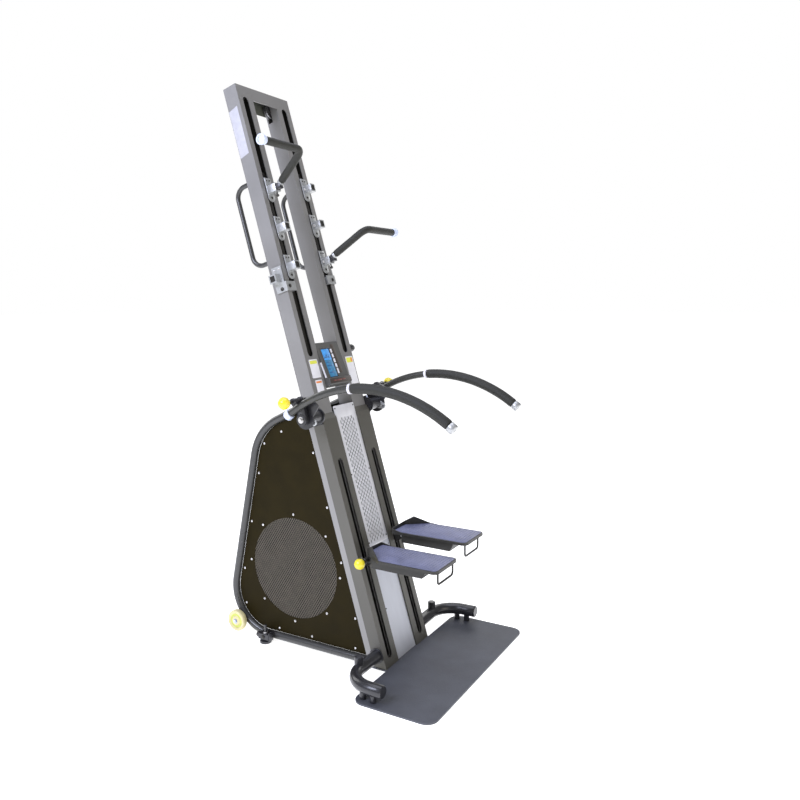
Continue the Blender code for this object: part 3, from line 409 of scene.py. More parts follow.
def aimed(origin, direction):
    """A frame at a point with its Z along a direction."""
    return Matrix.Translation(origin) @ Vector(direction).to_track_quat("Z", "Y").to_matrix().to_4x4()


def bolt(radius, rise):
    """A button-head screw on the XY plane, with a round socket."""
    socket, sink = radius * 0.42, rise * 0.35
    profile = [(0, sink), (socket, sink), (socket, rise), (radius * 0.66, rise * 0.97),
               (radius * 0.88, rise * 0.68), (radius, rise * 0.2), (radius, 0), (0, 0)]
    return lathe(profile, 18)


def hex_bolt(radius, rise):
    """A hexagon head on a washer."""
    brim, foot = radius * 1.35, rise * 0.2
    washer = lathe([(0, 0), (brim, 0), (brim, foot), (0, foot)], 20)
    head = lathe([(0, foot), (radius, foot), (radius, rise * 0.85), (radius * 0.86, rise), (0, rise)], 6)
    return together([washer, head])


def fasteners(name, places, radius, rise, body, finish="screw", make=bolt):
    """One piece of all the screws at some places. A place is (point, direction) in the row frame."""
    shapes = [moved(make(radius, rise), aimed(point, direction)) for point, direction in places]
    piece(name, together(shapes), finish, body)


def on_mast(x, depth, height, matrix=MAST):
    return matrix @ Vector((x, depth, height))


def mast_way(vector):
    return MAST.to_3x3() @ Vector(vector)


def facing(depth):
    """Turns a flat shape drawn in x and height towards the user, at a depth."""
    return Matrix.Translation((0, depth, 0)) @ TO_FRONT


def side_plate(side, outline, near, far, edge, holes=()):
    """A plate drawn in y and z, between two distances from the middle of the machine."""
    return moved(plate(outline, *sorted((side * near, side * far)), edge, holes), TO_SIDE)


FRONTWARD = mast_way((0, -1, 0))


# ---- mast ----------------------------------------------------------------------------------------
def make_slot_liners():
    """The dark channel that shows through each slot."""
    wide, thick, front, back = 0.0245, 0.0015, 0.0145, 0.0440
    for name, side in SIDES:
        shapes = []
        for low, high in (UPPER_SLOT, LOWER_SLOT):
            outline = [(-wide, front), (-wide, back), (wide, back), (wide, front), (wide - thick, front)]
            outline += [(wide - thick, back - thick), (thick - wide, back - thick), (thick - wide, front)]
            outline = [(side * SLOT_X + a, b) for a, b in outline]
            shapes.append(prism(outline, low - 0.006, high + 0.004 if high > 2 else high + 0.006))
        piece(name + "_slot_liner", moved(together(shapes), MAST), "dark", "frame", smooth=20)


def make_perforated_plate():
    half, low, high = 0.0745, 0.460, 1.045
    slot_wide, slot_high, pitch_x, pitch_z = 0.0062, 0.0150, 0.0118, 0.0225
    border_low, border_high = 0.020, 0.052
    holes = []
    for column in range(-4, 5):
        x = column * pitch_x
        z = low + border_low + (pitch_z / 2 if column % 2 else 0)
        while z < high - border_high:
            ends = (x - slot_wide / 2, z - slot_high / 2), (x + slot_wide / 2, z + slot_high / 2)
            holes.append(oblong(*ends, slot_wide / 2 - 0.0001, 4))
            z += pitch_z
    sheet = plate(oblong((-half, low), (half, high), 0.004), 0, 0.0025, 0.0003, holes)
    piece("perforated_sheet", moved(sheet, MAST @ facing(0.0075)), "bright", "frame",
          ("perforated_plate",), 30)
    ends = (0.004 - half, low + 0.002), (half - 0.004, high - 0.006)
    backing = plate(oblong(*ends, 0.004), 0, 0.001, 0.0002)
    piece("perforated_backing", moved(backing, MAST @ facing(0.0096)), "backing", "frame")
    depth = 0.0049
    places = [(on_mast(x, depth, z), FRONTWARD) for x in (-0.067, 0.067) for z in (1.034, 0.760, 0.478)]
    fasteners("perforated_screws", places, 0.0034, 0.0014, "frame", "screw_dark")
    spots = ((-0.066, 0.440), (0.066, 0.440), (-0.066, 0.210))
    places = [(on_mast(x, depth, z), FRONTWARD) for x, z in spots]
    fasteners("kick_screws", places, 0.0028, 0.0012, "frame", "screw_dark")


def make_mast_fasteners():
    """One small screw on each side of each lower slot, and the plate behind the idlers."""
    places = [(on_mast(side * SLOT_X + offset, -0.0001, 0.440), FRONTWARD)
              for _, side in SIDES for offset in (-0.0235, 0.0235)]
    fasteners("slot_guide_screws", places, 0.0022, 0.0010, "frame")
    sheet = plate(oblong((-0.078, 2.330), (0.078, 2.392), 0.002), 0, 0.0012, 0.0003)
    piece("window_plate", moved(sheet, MAST @ facing(0.0741)), "backing", "frame")


def label(name, x, heights, header, header_share):
    """A blank sticker with a coloured head, on a stile's front face."""
    low, high = heights
    split, rim = high - (high - low) * header_share, 0.005
    place = MAST @ facing(STILE_FRONT - 0.0001)
    sheet = plate(oblong((x[0], low), (x[1], high), 0.0035), 0, 0.0003, 0.0001)
    piece(name, moved(sheet, place), "label", "frame")
    band = plate(oblong((x[0] + rim, split), (x[1] - rim, high - rim), 0.001), 0.0004, 0.0006, 0.00005)
    piece(name + "_head", moved(band, place), header, "frame")


def make_labels():
    """Blank stickers: their heads are coloured, and nothing is written on them."""
    label("left_label_high", (-0.152, -0.095), (1.170, 1.246), "label_yellow", 0.24)
    label("left_label_low", (-0.143, -0.096), (1.104, 1.161), "label_orange", 0.22)
    label("right_label", (0.109, 0.165), (1.120, 1.240), "label_yellow", 0.22)
    patch = plate(oblong((0.146, 1.216), (0.158, 1.233), 0.001), 0.0007, 0.0009, 0.00005)
    place = MAST @ facing(STILE_FRONT - 0.0001)
    piece("right_label_patch", moved(patch, place), "label_orange", "frame")
    corners = [(0.030, 2.113), (0.077, 2.105), (0.077, 2.302), (0.030, 2.312)]
    depth_up = Matrix(((0, 0, -1, 0), (1, 0, 0, 0), (0, 1, 0, 0), (0, 0, 0, 1)))
    decal = plate([(a - 0.0015, b) for a, b in corners], 0, 0.0003, 0.0001)
    place = MAST @ Matrix.Translation((-STILE_OUTER - 0.0001, 0, 0)) @ depth_up
    piece("left_side_decal", moved(decal, place), "label_grey", "frame")


# ---- console -------------------------------------------------------------------------------------
def on_console(shape, front=0.0):
    """Places a flat shape drawn in x and height on the console's face, its thickness towards the user."""
    return moved(shape, CONSOLE @ facing(front))


def make_console():
    low, high = (-0.056, GAP - 0.066), (0.004, 0.061)
    glass = plate(oblong(low, high, 0.003), 0, 0.0048, 0.0006)
    piece("console_glass", on_console(glass, 0.0056), "lcd_edge", "frame", ("console_screen",))
    inner, split = 0.0035, 0.010
    top = plate(oblong((low[0] + inner, split), (high[0] - inner, high[1] - inner), 0.002), 0, 0.0004, 0.0001)
    piece("console_display_top", on_console(top, 0.0005), "lcd_top", "frame")
    ends = (low[0] + inner, low[1] + inner), (high[0] - inner, split - 0.0006)
    bottom = plate(oblong(*ends, 0.002), 0, 0.0004, 0.0001)
    piece("console_display_low", on_console(bottom, 0.0005), "lcd_low", "frame")
    marks = []
    for row, length in enumerate((0.024, 0.034, 0.018, 0.030)):
        x, z, half = -0.047, -0.0145 * row, 0.0028
        marks.append(plate(oblong((x, z - half), (x + length, z + half), 0.001), 0, 0.0003, 0.00008))
    for column in range(6):
        x, z = -0.048 + 0.0062 * column, 0.019
        rise = 0.006 + 0.0035 * (column % 4)
        marks.append(plate(oblong((x, z), (x + 0.0042, z + rise), 0.0006), 0, 0.0003, 0.00008))
    piece("console_segments", on_console(together(marks), 0.00005), "lcd_mark", "frame")
    out, lap = 0.0035, 0.0006
    outline = oblong((low[0] - out, low[1] - out), (high[0] + out, high[1] + out), 0.005)
    window = oblong((low[0] + lap, low[1] + lap), (high[0] - lap, high[1] - lap), 0.003)
    rim = plate(outline, 0, 0.0014, 0.0004, [window])
    piece("console_bezel", on_console(rim, -0.0001), "plastic", "frame")
    edge = block((-0.0789, 0.0010, -0.062), (-0.0784, 0.0085, 0.004), 0.0002, 1)
    piece("console_edge_strip", moved(edge, CONSOLE), "label", "frame")
    lip = plate(oblong((-0.074, -0.0912), (0.074, -0.0708), 0.003), 0, 0.0010, 0.0003)
    piece("console_lip", on_console(lip, -0.0071), "lip", "frame")
    bars = []
    for x, width in ((-0.050, 0.016), (-0.028, 0.034), (0.012, 0.022)):
        bars.append(plate(oblong((x, -0.0832), (x + width, -0.0787), 0.0008), 0, 0.0003, 0.0001))
    piece("console_lip_marks", on_console(together(bars), -0.0082), "reddish", "frame")
    strip = plate(oblong((0.0058, -0.0535), (0.0202, 0.0590), 0.003), 0, 0.0012, 0.0003,
                  [oblong((0.0072, m - 0.0088), (0.0188, m + 0.0088), 0.002) for m in button_heights()])
    piece("console_button_frame", on_console(strip, -0.0001), "plastic", "frame")
    for index, middle in enumerate(button_heights()):
        cap = block((0.0076, -0.0032, middle - 0.0084), (0.0184, 0.0072, middle + 0.0084), 0.0016, 3)
        name = f"console_button_{index + 1}"
        piece(name + "_cap", moved(cap, CONSOLE), "white", name, (name,))
    blank = plate(oblong((0.0076, -0.0520), (0.0184, -0.0290), 0.0015), 0, 0.0006, 0.0002)
    piece("console_button_blank", on_console(blank, -0.0014), "white", "frame")
    side_strip = plate(oblong((0.022, -0.050), (0.045, 0.076), 0.004), 0, 0.0008, 0.0003)
    piece("console_blank", on_console(side_strip, -0.0001), "lip", "frame")


def button_heights():
    return [0.0475 - 0.0215 * index for index in range(4)]


def make_tension_knob():
    centre = on_mast(STILE_OUTER, 0.035, 1.279)
    profile = [(0, 0.054), (0.0085, 0.0538), (0.0125, 0.0522), (0.0148, 0.0490), (0.0168, 0.0410)]
    profile += [(0.0150, 0.0300), (0.0132, 0.0210), (0.0105, 0.0110), (0.0092, 0.0080), (0.0090, 0.0005)]
    profile += [(0, 0.0005)]
    place = Matrix.Translation(centre) @ MAST @ ALONG_X
    piece("tension_knob_body", moved(lathe(profile, 60, flutes=(12, 0.07)), place), "black", "tension_knob",
          ("tension_knob",))
    pointer = block((-0.0008, 0.002, 0.0532), (0.0008, 0.0105, 0.0544), 0.0002, 1)
    piece("tension_knob_pointer", moved(pointer, place), "white", "tension_knob")


# ---- chain ---------------------------------------------------------------------------------------
def chain_points(pitch):
    """Points one pitch apart, up one side, over both idlers and down the other."""
    reach, top = IDLER_X + CHAIN_RADIUS, IDLER_HEIGHT + CHAIN_RADIUS
    corners = [(-reach, 0, CHAIN_END), (-reach, 0, top), (reach, 0, top), (reach, 0, CHAIN_END)]
    path = bent(corners, (CHAIN_RADIUS, CHAIN_RADIUS), 24)
    made, carry = [path[0]], 0.0
    for start, end in zip(path, path[1:]):
        run = (end - start).length
        at = pitch - carry
        while at <= run:
            made.append(start.lerp(end, at / run))
            at += pitch
        carry = run - (at - pitch)
    return made


def make_chain():
    """Roller chain of 3/8 inch pitch from one carriage over both idlers to the other."""
    pins, shapes = chain_points(CHAIN_PITCH), []
    rounding, thick, reach = 0.0027, 0.0007, 0.0033
    for index, (start, end) in enumerate(zip(pins, pins[1:])):
        half = 0.0029 if index % 2 else 0.0036
        link = hull(circle((0, 0), rounding, 8) + circle(((end - start).length, 0), rounding, 8))
        across = Vector((end.x - start.x, 0, end.z - start.z)).normalized()
        basis = Matrix((across, across.cross(Vector((0, 1, 0))), Vector((0, 1, 0)))).transposed().to_4x4()
        place = Matrix.Translation((start.x, IDLER_DEPTH, start.z)) @ basis
        for low in (-half, half - thick):
            shapes.append(moved(prism(link, low, low + thick), place))
        roller = lathe([(0, -reach), (0.0021, -reach), (0.0021, reach), (0, reach)], 8)
        shapes.append(moved(roller, place))
    piece("roller_chain", moved(together(shapes), MAST), "chain", "frame", ("climb_chain",))


def make_idler_hubs():
    for name, side in SIDES:
        point = on_mast(side * IDLER_X, IDLER_DEPTH - 0.0066, IDLER_HEIGHT)
        places = [(point, FRONTWARD)]
        fasteners(name + "_idler_bolt", places, 0.008, 0.005, "frame", "screw_dark", hex_bolt)


# ---- carriages -----------------------------------------------------------------------------------
def make_rack(name, side, used):
    """Handle sockets on their rounded tabs, joined by a near-black strip whose colour is painted shade of the
    slot it lies in. Only the socket in use is open.
    """
    matrix, body, x = carriage(side), name + "_climber", side * SLOT_X
    half, bore, above = SOCKET_SIZE / 2, SOCKET_BORE / 2, SOCKET_SIZE / 2 + 0.035
    ends = SOCKET_HEIGHTS[0] + above - TAB_LENGTH, SOCKET_HEIGHTS[2] + above
    strips = [block((x - 0.009, 0.0150, ends[0]), (x + 0.009, 0.0236, ends[1]), 0.0006)]
    silver, plugs, small, low_screws = [], [], [], []
    for index, height in enumerate(SOCKET_HEIGHTS):
        top, foot = height + above, height + above - TAB_LENGTH + 0.0195
        strips.append(block((x - 0.0085, 0.0079, top - 0.095), (x + 0.0085, 0.0152, top - 0.005), 0.0004))
        tab = hull(circle((x, foot), 0.0195, 40) + [(x - 0.0195, top), (x + 0.0195, top)])
        silver.append(moved(plate(tab, 0, 0.0040, 0.0006), facing(0.0080)))
        holes = [oblong((x - bore, height - bore), (x + bore, height + bore), 0.002)] if index == used else []
        outline = oblong((x - half, height - half), (x + half, height + half), 0.003)
        cube = plate(outline, 0, 0.0438, 0.0010, holes)
        silver.append(moved(cube, facing(0.0078)))
        if index != used:
            ends = (x - bore, -0.0366, height - bore), (x + bore, -0.0361, height + bore)
            plugs.append(block(*ends, 0.0002, 1))
        for offset in (-0.0085, 0.0085):
            small.append((on_mast(x + offset, TAB_FRONT, height + 0.0415, matrix), FRONTWARD))
        low_screws.append((on_mast(x, TAB_FRONT, height - 0.0315, matrix), FRONTWARD))
    # The strip is near-black as painted shade: it stands for the dark inside of the slot round it.
    piece(name + "_rack_strip", moved(together(strips), matrix), "dark", body)
    piece(name + "_rack_sockets", moved(together(silver), matrix), "silver", body,
          (name + "_handle_rack",))
    piece(name + "_rack_plugs", moved(together(plugs), matrix), "dark", body)
    fasteners(name + "_rack_screws", small, 0.0036, 0.0020, body, "screw_dark")
    fasteners(name + "_rack_low_screws", low_screws, 0.0055, 0.0026, body, "screw_dark")
    inside = x - side * (half + 0.0001)
    pins = [(on_mast(inside, -0.004, height, matrix), (-side, 0, 0)) for height in SOCKET_HEIGHTS]
    fasteners(name + "_rack_pins", pins, 0.0055, 0.0070, body)
    pull = [(0, -0.0210), (0.0050, -0.0190), (0.0064, -0.0150), (0.0050, -0.0108), (0.0028, -0.0094)]
    pull += [(0.0028, 0), (0, 0)]
    place = matrix @ Matrix.Translation((x, -0.026, SOCKET_HEIGHTS[used] - half - 0.0001))
    piece(name + "_rack_pull", moved(lathe(pull, 20), place), "screw_dark", body)


def make_side_socket_details(name, side):
    """The plug on the outer socket, and the screws that hold its plate."""
    matrix, body = carriage(side), name + "_climber"
    outer = on_mast(side * 0.2051, 0.044, 1.6035, matrix)
    plug = block((-0.0115, -0.0115, 0), (0.0115, 0.0115, 0.0010), 0.0004, 2)
    place = Matrix.Translation(outer) @ MAST @ Matrix.Rotation(side * pi / 2, 4, "Y")
    piece(name + "_side_plug", moved(plug, place), "dark", body)
    wall = side * 0.1776
    places = [(on_mast(wall, depth, 1.6385, matrix), (side, 0, 0)) for depth in (0.024, 0.048)]
    fasteners(name + "_side_socket_screws", places, 0.0042, 0.0024, body)
    low = [(on_mast(wall, 0.030, 1.5580, matrix), (side, 0, 0))]
    low.append((on_mast(side * 0.157, TAB_FRONT, 1.5655, matrix), FRONTWARD))
    fasteners(name + "_side_socket_bolts", low, 0.0060, 0.0040, body, "screw_dark", hex_bolt)


def make_foam(name, run, radius, taper, ends, matrix, body, grip):
    """A foam tube along a path, slightly uneven, its radius less by the taper towards each end."""
    last = len(run) - 1
    soft = [radius - taper * max(0, 1 - min(i, last - i) / ends) for i in range(len(run))]
    foam = moved(sweep(run, soft, 28, rough=0.00035), matrix)
    piece(name, foam, "foam", body, (grip,), 70)


def make_upper_handle(name, side, height):
    matrix = carriage(side)
    body = name + "_upper_grip_arm"
    across, forward, up = HANDLE_BEND
    base = Vector((side * 0.122, -0.0425, height + 0.008))
    bend = Vector((side * across, forward, height + up))
    end = Vector((side * HANDLE_END, forward, height + up))
    path = bent([base, bend, end], (0.040,), 14)
    along = (bend - base).normalized()
    half, x = SOCKET_BORE / 2 - 0.0005, side * SLOT_X
    stem = block((x - half, -0.056, height - half), (x + half, -0.0085, height + half), 0.0016)
    cap_start = end - Vector((side * 0.024, 0, 0))
    tube = sweep([base] + path[1:-1] + [cap_start + Vector((side * 0.004, 0, 0))], HANDLE_TUBE, 24)
    piece(name + "_handle_stem", moved(together([stem, tube]), matrix), "black", body,
          (name + "_upper_handle",))
    outer = HANDLE_FOAM - 0.001
    ring = [(HANDLE_TUBE + 0.0002, 0), (outer, 0.0010), (outer, 0.0090), (HANDLE_TUBE + 0.0002, 0.010)]
    collar = moved(lathe(ring, 32, closed=True), aimed(base + along * 0.009, along))
    piece(name + "_handle_collar", moved(collar, matrix), "silver", body)
    wall = [(0.0153, 0), (0.0165, 0.0012), (0.0165, 0.0138), (0.0190, 0.0140), (0.0200, 0.0152)]
    wall += [(0.0200, 0.0226), (0.0188, 0.0240), (0.0138, 0.0240), (0.0130, 0.0226), (0.0130, 0.0192)]
    wall += [(0, 0.0190), (0, 0.0046), (HANDLE_TUBE + 0.0003, 0.0044), (HANDLE_TUBE + 0.0003, 0)]
    cap = moved(lathe(wall, 36), aimed(cap_start, Vector((side, 0, 0))))
    # The cap is silver; its pale blue colour is a painted reflection of the bluish light that falls on it.
    piece(name + "_handle_cap", moved(cap, matrix), "cap_painted_blue_light", body)
    foam_start = base + along * 0.0195
    run = finely([foam_start] + path[1:-1] + [cap_start - Vector((side * 0.0005, 0, 0))], 0.004)
    make_foam(name + "_upper_foam", run, HANDLE_FOAM, 0.0018, 1.6, matrix, body, name + "_upper_grip")


# ---- pedals --------------------------------------------------------------------------------------
def make_pedal_details(name, side):
    matrix, body = level(side), name + "_pedal"
    outline = [(0.2195, 0.009), (0.1525, 0.0935), (0.0565, 0.0935), (0.0520, 0.088), (0.0520, -0.215)]
    outline += [(0.0560, -0.225), (0.065, -0.2295), (0.206, -0.2295), (0.2155, -0.225), (0.2195, -0.215)]
    outline = [(side * a, b) for a, b in outline]
    top = PEDAL_TOP + 0.0001
    mat = plate(outline if side > 0 else outline[::-1], top, top + 0.0012, 0.0003)
    studs, pitch = [], 0.0130
    for row in range(24):
        for column in range(13):
            x = 0.060 + pitch * column + (pitch / 2 if row % 2 else 0)
            y = -0.219 + pitch * row
            if x > 0.213 or y > 0.088 or (x - 0.148) * 0.80 + (y - 0.088) * 0.62 > -0.006:
                continue
            stud = lathe([(0, 0.0016), (0.0014, 0.0016), (0.0030, 0), (0, -0.0002)], 8)
            studs.append(moved(stud, Matrix.Translation((side * x, y, top + 0.0011))))
    piece(name + "_pedal_mat", moved(together([mat] + studs), matrix), "grip", body, smooth=30)
    y, z = PEDAL_PIVOT
    places = [(matrix @ Vector((side * 0.1049, y, z)), (-side, 0, 0))]
    fasteners(name + "_pedal_pivot_bolt", places, 0.0070, 0.0055, body, make=hex_bolt)
    pin_y, pin_z = PEDAL_PIN
    collar = [(0.0056, 0), (0.0125, 0), (0.0130, 0.0012), (0.0130, 0.0042), (0.0118, 0.0052)]
    collar = lathe(collar + [(0.0056, 0.0052)], 28, closed=True)
    place = aimed(matrix @ Vector((side * 0.1730, pin_y, pin_z)), (side, 0, 0))
    piece(name + "_pedal_pin_collar", moved(collar, place), "screw_dark", body)


def make_pull_knob(name, node, side, radius, knob_x, tip_x, at, matrix, neck):
    """A yellow ball on a dark neck, and the pin's shaft as far as its tip."""
    place = Matrix.Translation(matrix @ Vector((side * knob_x, *at))) @ Matrix.Rotation(side * pi / 2, 4, "Y")
    ball = []
    for step in range(15):
        angle = radians(152) * step / 14
        ball.append((radius * sin(angle), radius * cos(angle)))
    ball += [(0.0072, ball[-1][1] + 0.0004), (0.0072, ball[-1][1] - 0.0006), (0, ball[-1][1] - 0.0006)]
    ball[0] = (0, radius)
    piece(name + "_ball", moved(lathe(ball, 40), place), "yellow", node, (node,), 60)
    top, foot = ball[-1][1] - 0.0001, -(knob_x - tip_x)
    shoulder = -radius - neck
    rod = [(0, top), (0.0068, top), (0.0068, top - 0.0012), (0.0090, top - 0.0022)]
    rod += [(0.0092, shoulder + 0.0018), (0.0080, shoulder + 0.0002), (0.0050, shoulder)]
    rod += [(0.0050, foot + 0.002), (0.0036, foot), (0, foot)]
    piece(name + "_neck", moved(lathe(rod, 28), place), "screw_dark", node)


# ---- handlebars ----------------------------------------------------------------------------------
def bar_point(side, angle):
    y, z, radius = BAR_ARC
    return Vector((side * BAR_X, y + radius * sin(angle), z + radius * cos(angle)))


def bar_path(side, start, end, count):
    return [bar_point(side, start + (end - start) * step / (count - 1)) for step in range(count)]


def make_handlebar(name, side):
    body = name + "_handlebar"
    y, z = BAR_PIVOT
    pin_y, pin_z = BAR_PIN
    rear, front = BAR_ENDS
    foam_rear, foam_front = BAR_FOAM
    tube = sweep(bar_path(side, rear - radians(0.2), front + radians(0.25), 90), BAR_RADIUS, 28)
    piece(name + "_bar_tube", tube, "bar", body, (name + "_handlebar",))
    outer = FOAM_RADIUS + 0.0003
    bore = BAR_RADIUS + 0.0002
    cap = [(bore, 0.0), (outer - 0.001, 0.0), (outer, 0.0012), (outer, 0.0200), (outer - 0.0016, 0.0228)]
    cap += [(outer - 0.005, 0.0240), (0.0050, 0.0240), (0.0038, 0.0226), (0, 0.0224), (0, 0.0216)]
    cap += [(bore, 0.0212)]
    # Both caps are the same silver part: the rear one gets painted blue light in its colour, the front one
    # stays silver.
    for word, tip, step, look in (("rear", rear, -1, "cap_painted_blue_light"), ("front", front, 1, "silver")):
        start, end = bar_point(side, tip + step * radians(2.46)), bar_point(side, tip)
        shape = moved(lathe(cap, 36), aimed(start, end - start))
        piece(f"{name}_bar_{word}_cap", shape, look, body)
    first, last = bar_point(side, foam_rear + radians(0.16)), bar_point(side, foam_rear + radians(1.25))
    ring = lathe([(bore, 0), (FOAM_RADIUS, 0.0008), (FOAM_RADIUS, 0.0098), (bore, 0.0106)], 36, closed=True)
    piece(name + "_bar_ring", moved(ring, aimed(first, last - first)), "white", body)
    run = bar_path(side, foam_rear, foam_front, 110)
    still = Matrix.Identity(4)
    make_foam(name + "_bar_foam", run, FOAM_RADIUS, 0.0022, 1.4, still, body, name + "_handlebar_grip")
    lug = hull(circle((y, z), 0.022) + circle((pin_y, pin_z), 0.014))
    cheek = side_plate(side, lug, 0.2740, 0.2920, 0.0012, [circle((y, z), 0.0096, 24)])
    piece(name + "_bar_lug", cheek, "black", body)
    housing = [(0.0056, 0), (0.0100, 0), (0.0110, 0.001), (0.0110, 0.0500), (0.0125, 0.0508)]
    housing += [(0.0125, 0.0605), (0.0116, 0.0615), (0.0056, 0.0615)]
    place = aimed((side * BAR_PIN_TIP, pin_y, pin_z), (side, 0, 0))
    housing = moved(lathe(housing, 32, closed=True), place)
    piece(name + "_bar_pin_housing", housing, "black", body)
    hub = [(0.0096, 0), (0.0205, 0), (0.0220, 0.0012), (0.0220, 0.0240), (0.0205, 0.0254), (0.0096, 0.0254)]
    place = aimed((side * 0.2686, y, z), (side, 0, 0))
    piece(name + "_bar_hub", moved(lathe(hub, 36, closed=True), place), "black", body)


def make_bar_bracket_details(name, side):
    y, z = BAR_PIVOT
    washer = lathe([(0, 0), (0.0125, 0), (0.0125, 0.0014), (0, 0.0014)], 28)
    nut = moved(hex_bolt(0.0085, 0.0070), Matrix.Translation((0, 0, 0.0014)))
    place = aimed((side * 0.2944, y, z), (side, 0, 0))
    piece(name + "_bar_axle_nut", moved(together([washer, nut]), place), "screw", "frame")
    places = [(on_mast(side * 0.1801, d, s), (side, 0, 0)) for d in (0.012, 0.064) for s in (0.996, 1.048)]
    fasteners(name + "_bracket_bolts", places, 0.0048, 0.0036, "frame", "screw_dark", hex_bolt)
    tab = hull(circle((y - 0.034, z - 0.012), 0.013) + circle((y - 0.004, z - 0.004), 0.020))
    shape = side_plate(side, tab, 0.2560, 0.2616, 0.0008, [circle((y - 0.036, z - 0.013), 0.005, 20)])
    piece(name + "_stop_tab", shape, "silver", "frame")
    disc = [(0.0253, 0), (0.0320, 0), (0.0320, 0.0046), (0.0305, 0.0060), (0.0253, 0.0060)]
    disc = lathe(disc, 40, closed=True)
    place = aimed((side * 0.1802, y, z), (side, 0, 0))
    piece(name + "_bracket_disc", moved(disc, place), "black", "frame")


# ---- frame tubes ---------------------------------------------------------------------------------
def make_side_tube(name, side):
    corners = [(side * TUBE_X, y, z) for y, z in TUBE_CORNERS]
    tube = sweep(bent(corners, TUBE_BENDS, 28), TUBE_RADIUS, 36)
    trimmed(tube, on_mast(0, STILE_BACK + GAP, 0.5), mast_way((0, 1, 0)))
    y, z = WHEEL_CENTRE
    stub = lathe([(0, 0), (0.006, 0), (0.006, 0.054), (0, 0.054)], 20)
    stub = moved(stub, aimed((side * TUBE_X, y, z), (side, 0, 0)))
    lug = side_plate(side, hull(circle((y, z), 0.010) + circle(LUG, 0.013)), 0.162, 0.174, 0.0010)
    shape = together([tube, stub, lug])
    piece(name + "_side_frame", shape, "tube", "frame", (name + "_side_tube",))


def make_rear_handle(name, side):
    low, high, reach, x = 1.670, 2.003, 0.156, side * 0.150
    start = STILE_BACK + GAP
    corners = [(x, start, high), (x, reach, high), (x, reach, low), (x, start, low)]
    loop = sweep(bent(corners, (0.045, 0.045), 16), 0.0098, 24)
    rings = []
    for height in (low, high):
        weld = lathe([(0.0099, 0), (0.0122, 0), (0.0108, 0.0016), (0.0099, 0.0020)], 28, closed=True)
        rings.append(moved(weld, Matrix.Translation((x, start, height)) @ Matrix.Rotation(-pi / 2, 4, "X")))
    piece(name + "_rear_loop", moved(together([loop] + rings), MAST), "tube", "frame",
          (name + "_rear_handle",))


def make_base_arm(name, side):
    corners = [(side * x, y, ARM_HEIGHT) for x, y in ARM_CORNERS]
    path = bent(corners, (ARM_BEND,), 26)
    last, before = path[-1], path[-2]
    along = (last - before).normalized()
    path = path[:-1] + [last - along * 0.004, last]
    radii = [ARM_RADIUS] * (len(path) - 1) + [ARM_RADIUS - 0.0035]
    arm = sweep(path, radii, 36)
    face = side * (STILE_OUTER + 0.0022 + 3 * GAP)
    trimmed(arm, Vector((face, 0, 0)), Vector((side, 0, 0)))
    stub = lathe([(0, 0), (0.0165, 0), (0.0165, 0.0475), (0.0140, 0.0500), (0, 0.0500)], 28)
    shapes = [arm, moved(stub, Matrix.Translation((side * 0.300, 0.048, ARM_HEIGHT)))]
    for x, y in ((0.397, -0.030), (0.401, -0.075)):
        post = lathe([(0, 0), (0.0120, 0), (0.0120, 0.040), (0, 0.040)], 24)
        shapes.append(moved(post, Matrix.Translation((side * x, y, PLATFORM_THICKNESS + GAP))))
    piece(name + "_floor_arm", together(shapes), "black", "frame", (name + "_base_arm",))
    bore = ARM_RADIUS + 0.0001
    flange = [(bore, 0), (0.030, 0), (0.030, 0.0028), (0.0290, 0.0038), (bore, 0.0038)]
    flange = lathe(flange, 40, closed=True)
    place = aimed((side * 0.1745, 0.0453, ARM_HEIGHT), (side, 0, 0))
    piece(name + "_arm_flange", moved(flange, place), "black", "frame")


# ---- fan housing ---------------------------------------------------------------------------------
def panel_outline(distance):
    """The side frame's loop moved inward, with its front edge along the mast's back face."""
    corners = [Vector(corner) for corner in TUBE_CORNERS]
    shifted = []
    for index, corner in enumerate(corners):
        arrive = (corner - corners[index - 1]).normalized()
        leave = (corners[(index + 1) % len(corners)] - corner).normalized()
        inward = Vector((-arrive.y - leave.y, arrive.x + leave.x)).normalized()
        shifted.append(corner + inward * (distance / inward.dot(Vector((-arrive.y, arrive.x)))))
    back = (STILE_BACK + distance - TUBE_RADIUS) / cos(LEAN)

    def at_mast(a, b):
        share = (back + a.y * tan(LEAN) - a.x) / ((b.x - a.x) - (b.y - a.y) * tan(LEAN))
        return a + (b - a) * share

    ends = [at_mast(shifted[0], shifted[1]), shifted[1], shifted[2], at_mast(shifted[3], shifted[2])]
    return bent(ends, [bend - distance for bend in TUBE_BENDS], 12)


def crossings(outline, level, axis):
    """Where a closed outline of (y, z) points meets a level of y (axis 0) or z (axis 1), in order."""
    found = []
    for a, b in zip(outline, outline[1:] + outline[:1]):
        if (a[axis] - level) * (b[axis] - level) < 0:
            share = (level - a[axis]) / (b[axis] - a[axis])
            found.append(a[1 - axis] + (b[1 - axis] - a[1 - axis]) * share)
    return sorted(found)


def make_side_panel_details(name, side):
    """The screws along the panel's edges and round its grille."""
    outer, row = PANEL_X + 0.0026, panel_outline(TUBE_RADIUS + 0.0155)
    lowest, pitch = 0.178, 0.2147
    points = [(crossings(row, lowest + pitch * k, 1)[0], lowest + pitch * k) for k in range(4)]
    points += [(crossings(row, z, 1)[-1], z) for z in (0.131, 0.284, 0.4965, 0.709)]
    points += [(y, crossings(row, y, 0)[0]) for y in (0.150, 0.360, 0.528)]
    points += [(0.498, 0.895), (0.588, 0.837)]
    points += circle(FAN_CENTRE, 0.226, 8)
    places = [((side * outer, y, z), (side, 0, 0)) for y, z in points]
    fasteners(name + "_panel_screws", places, 0.0052, 0.0028, "frame")


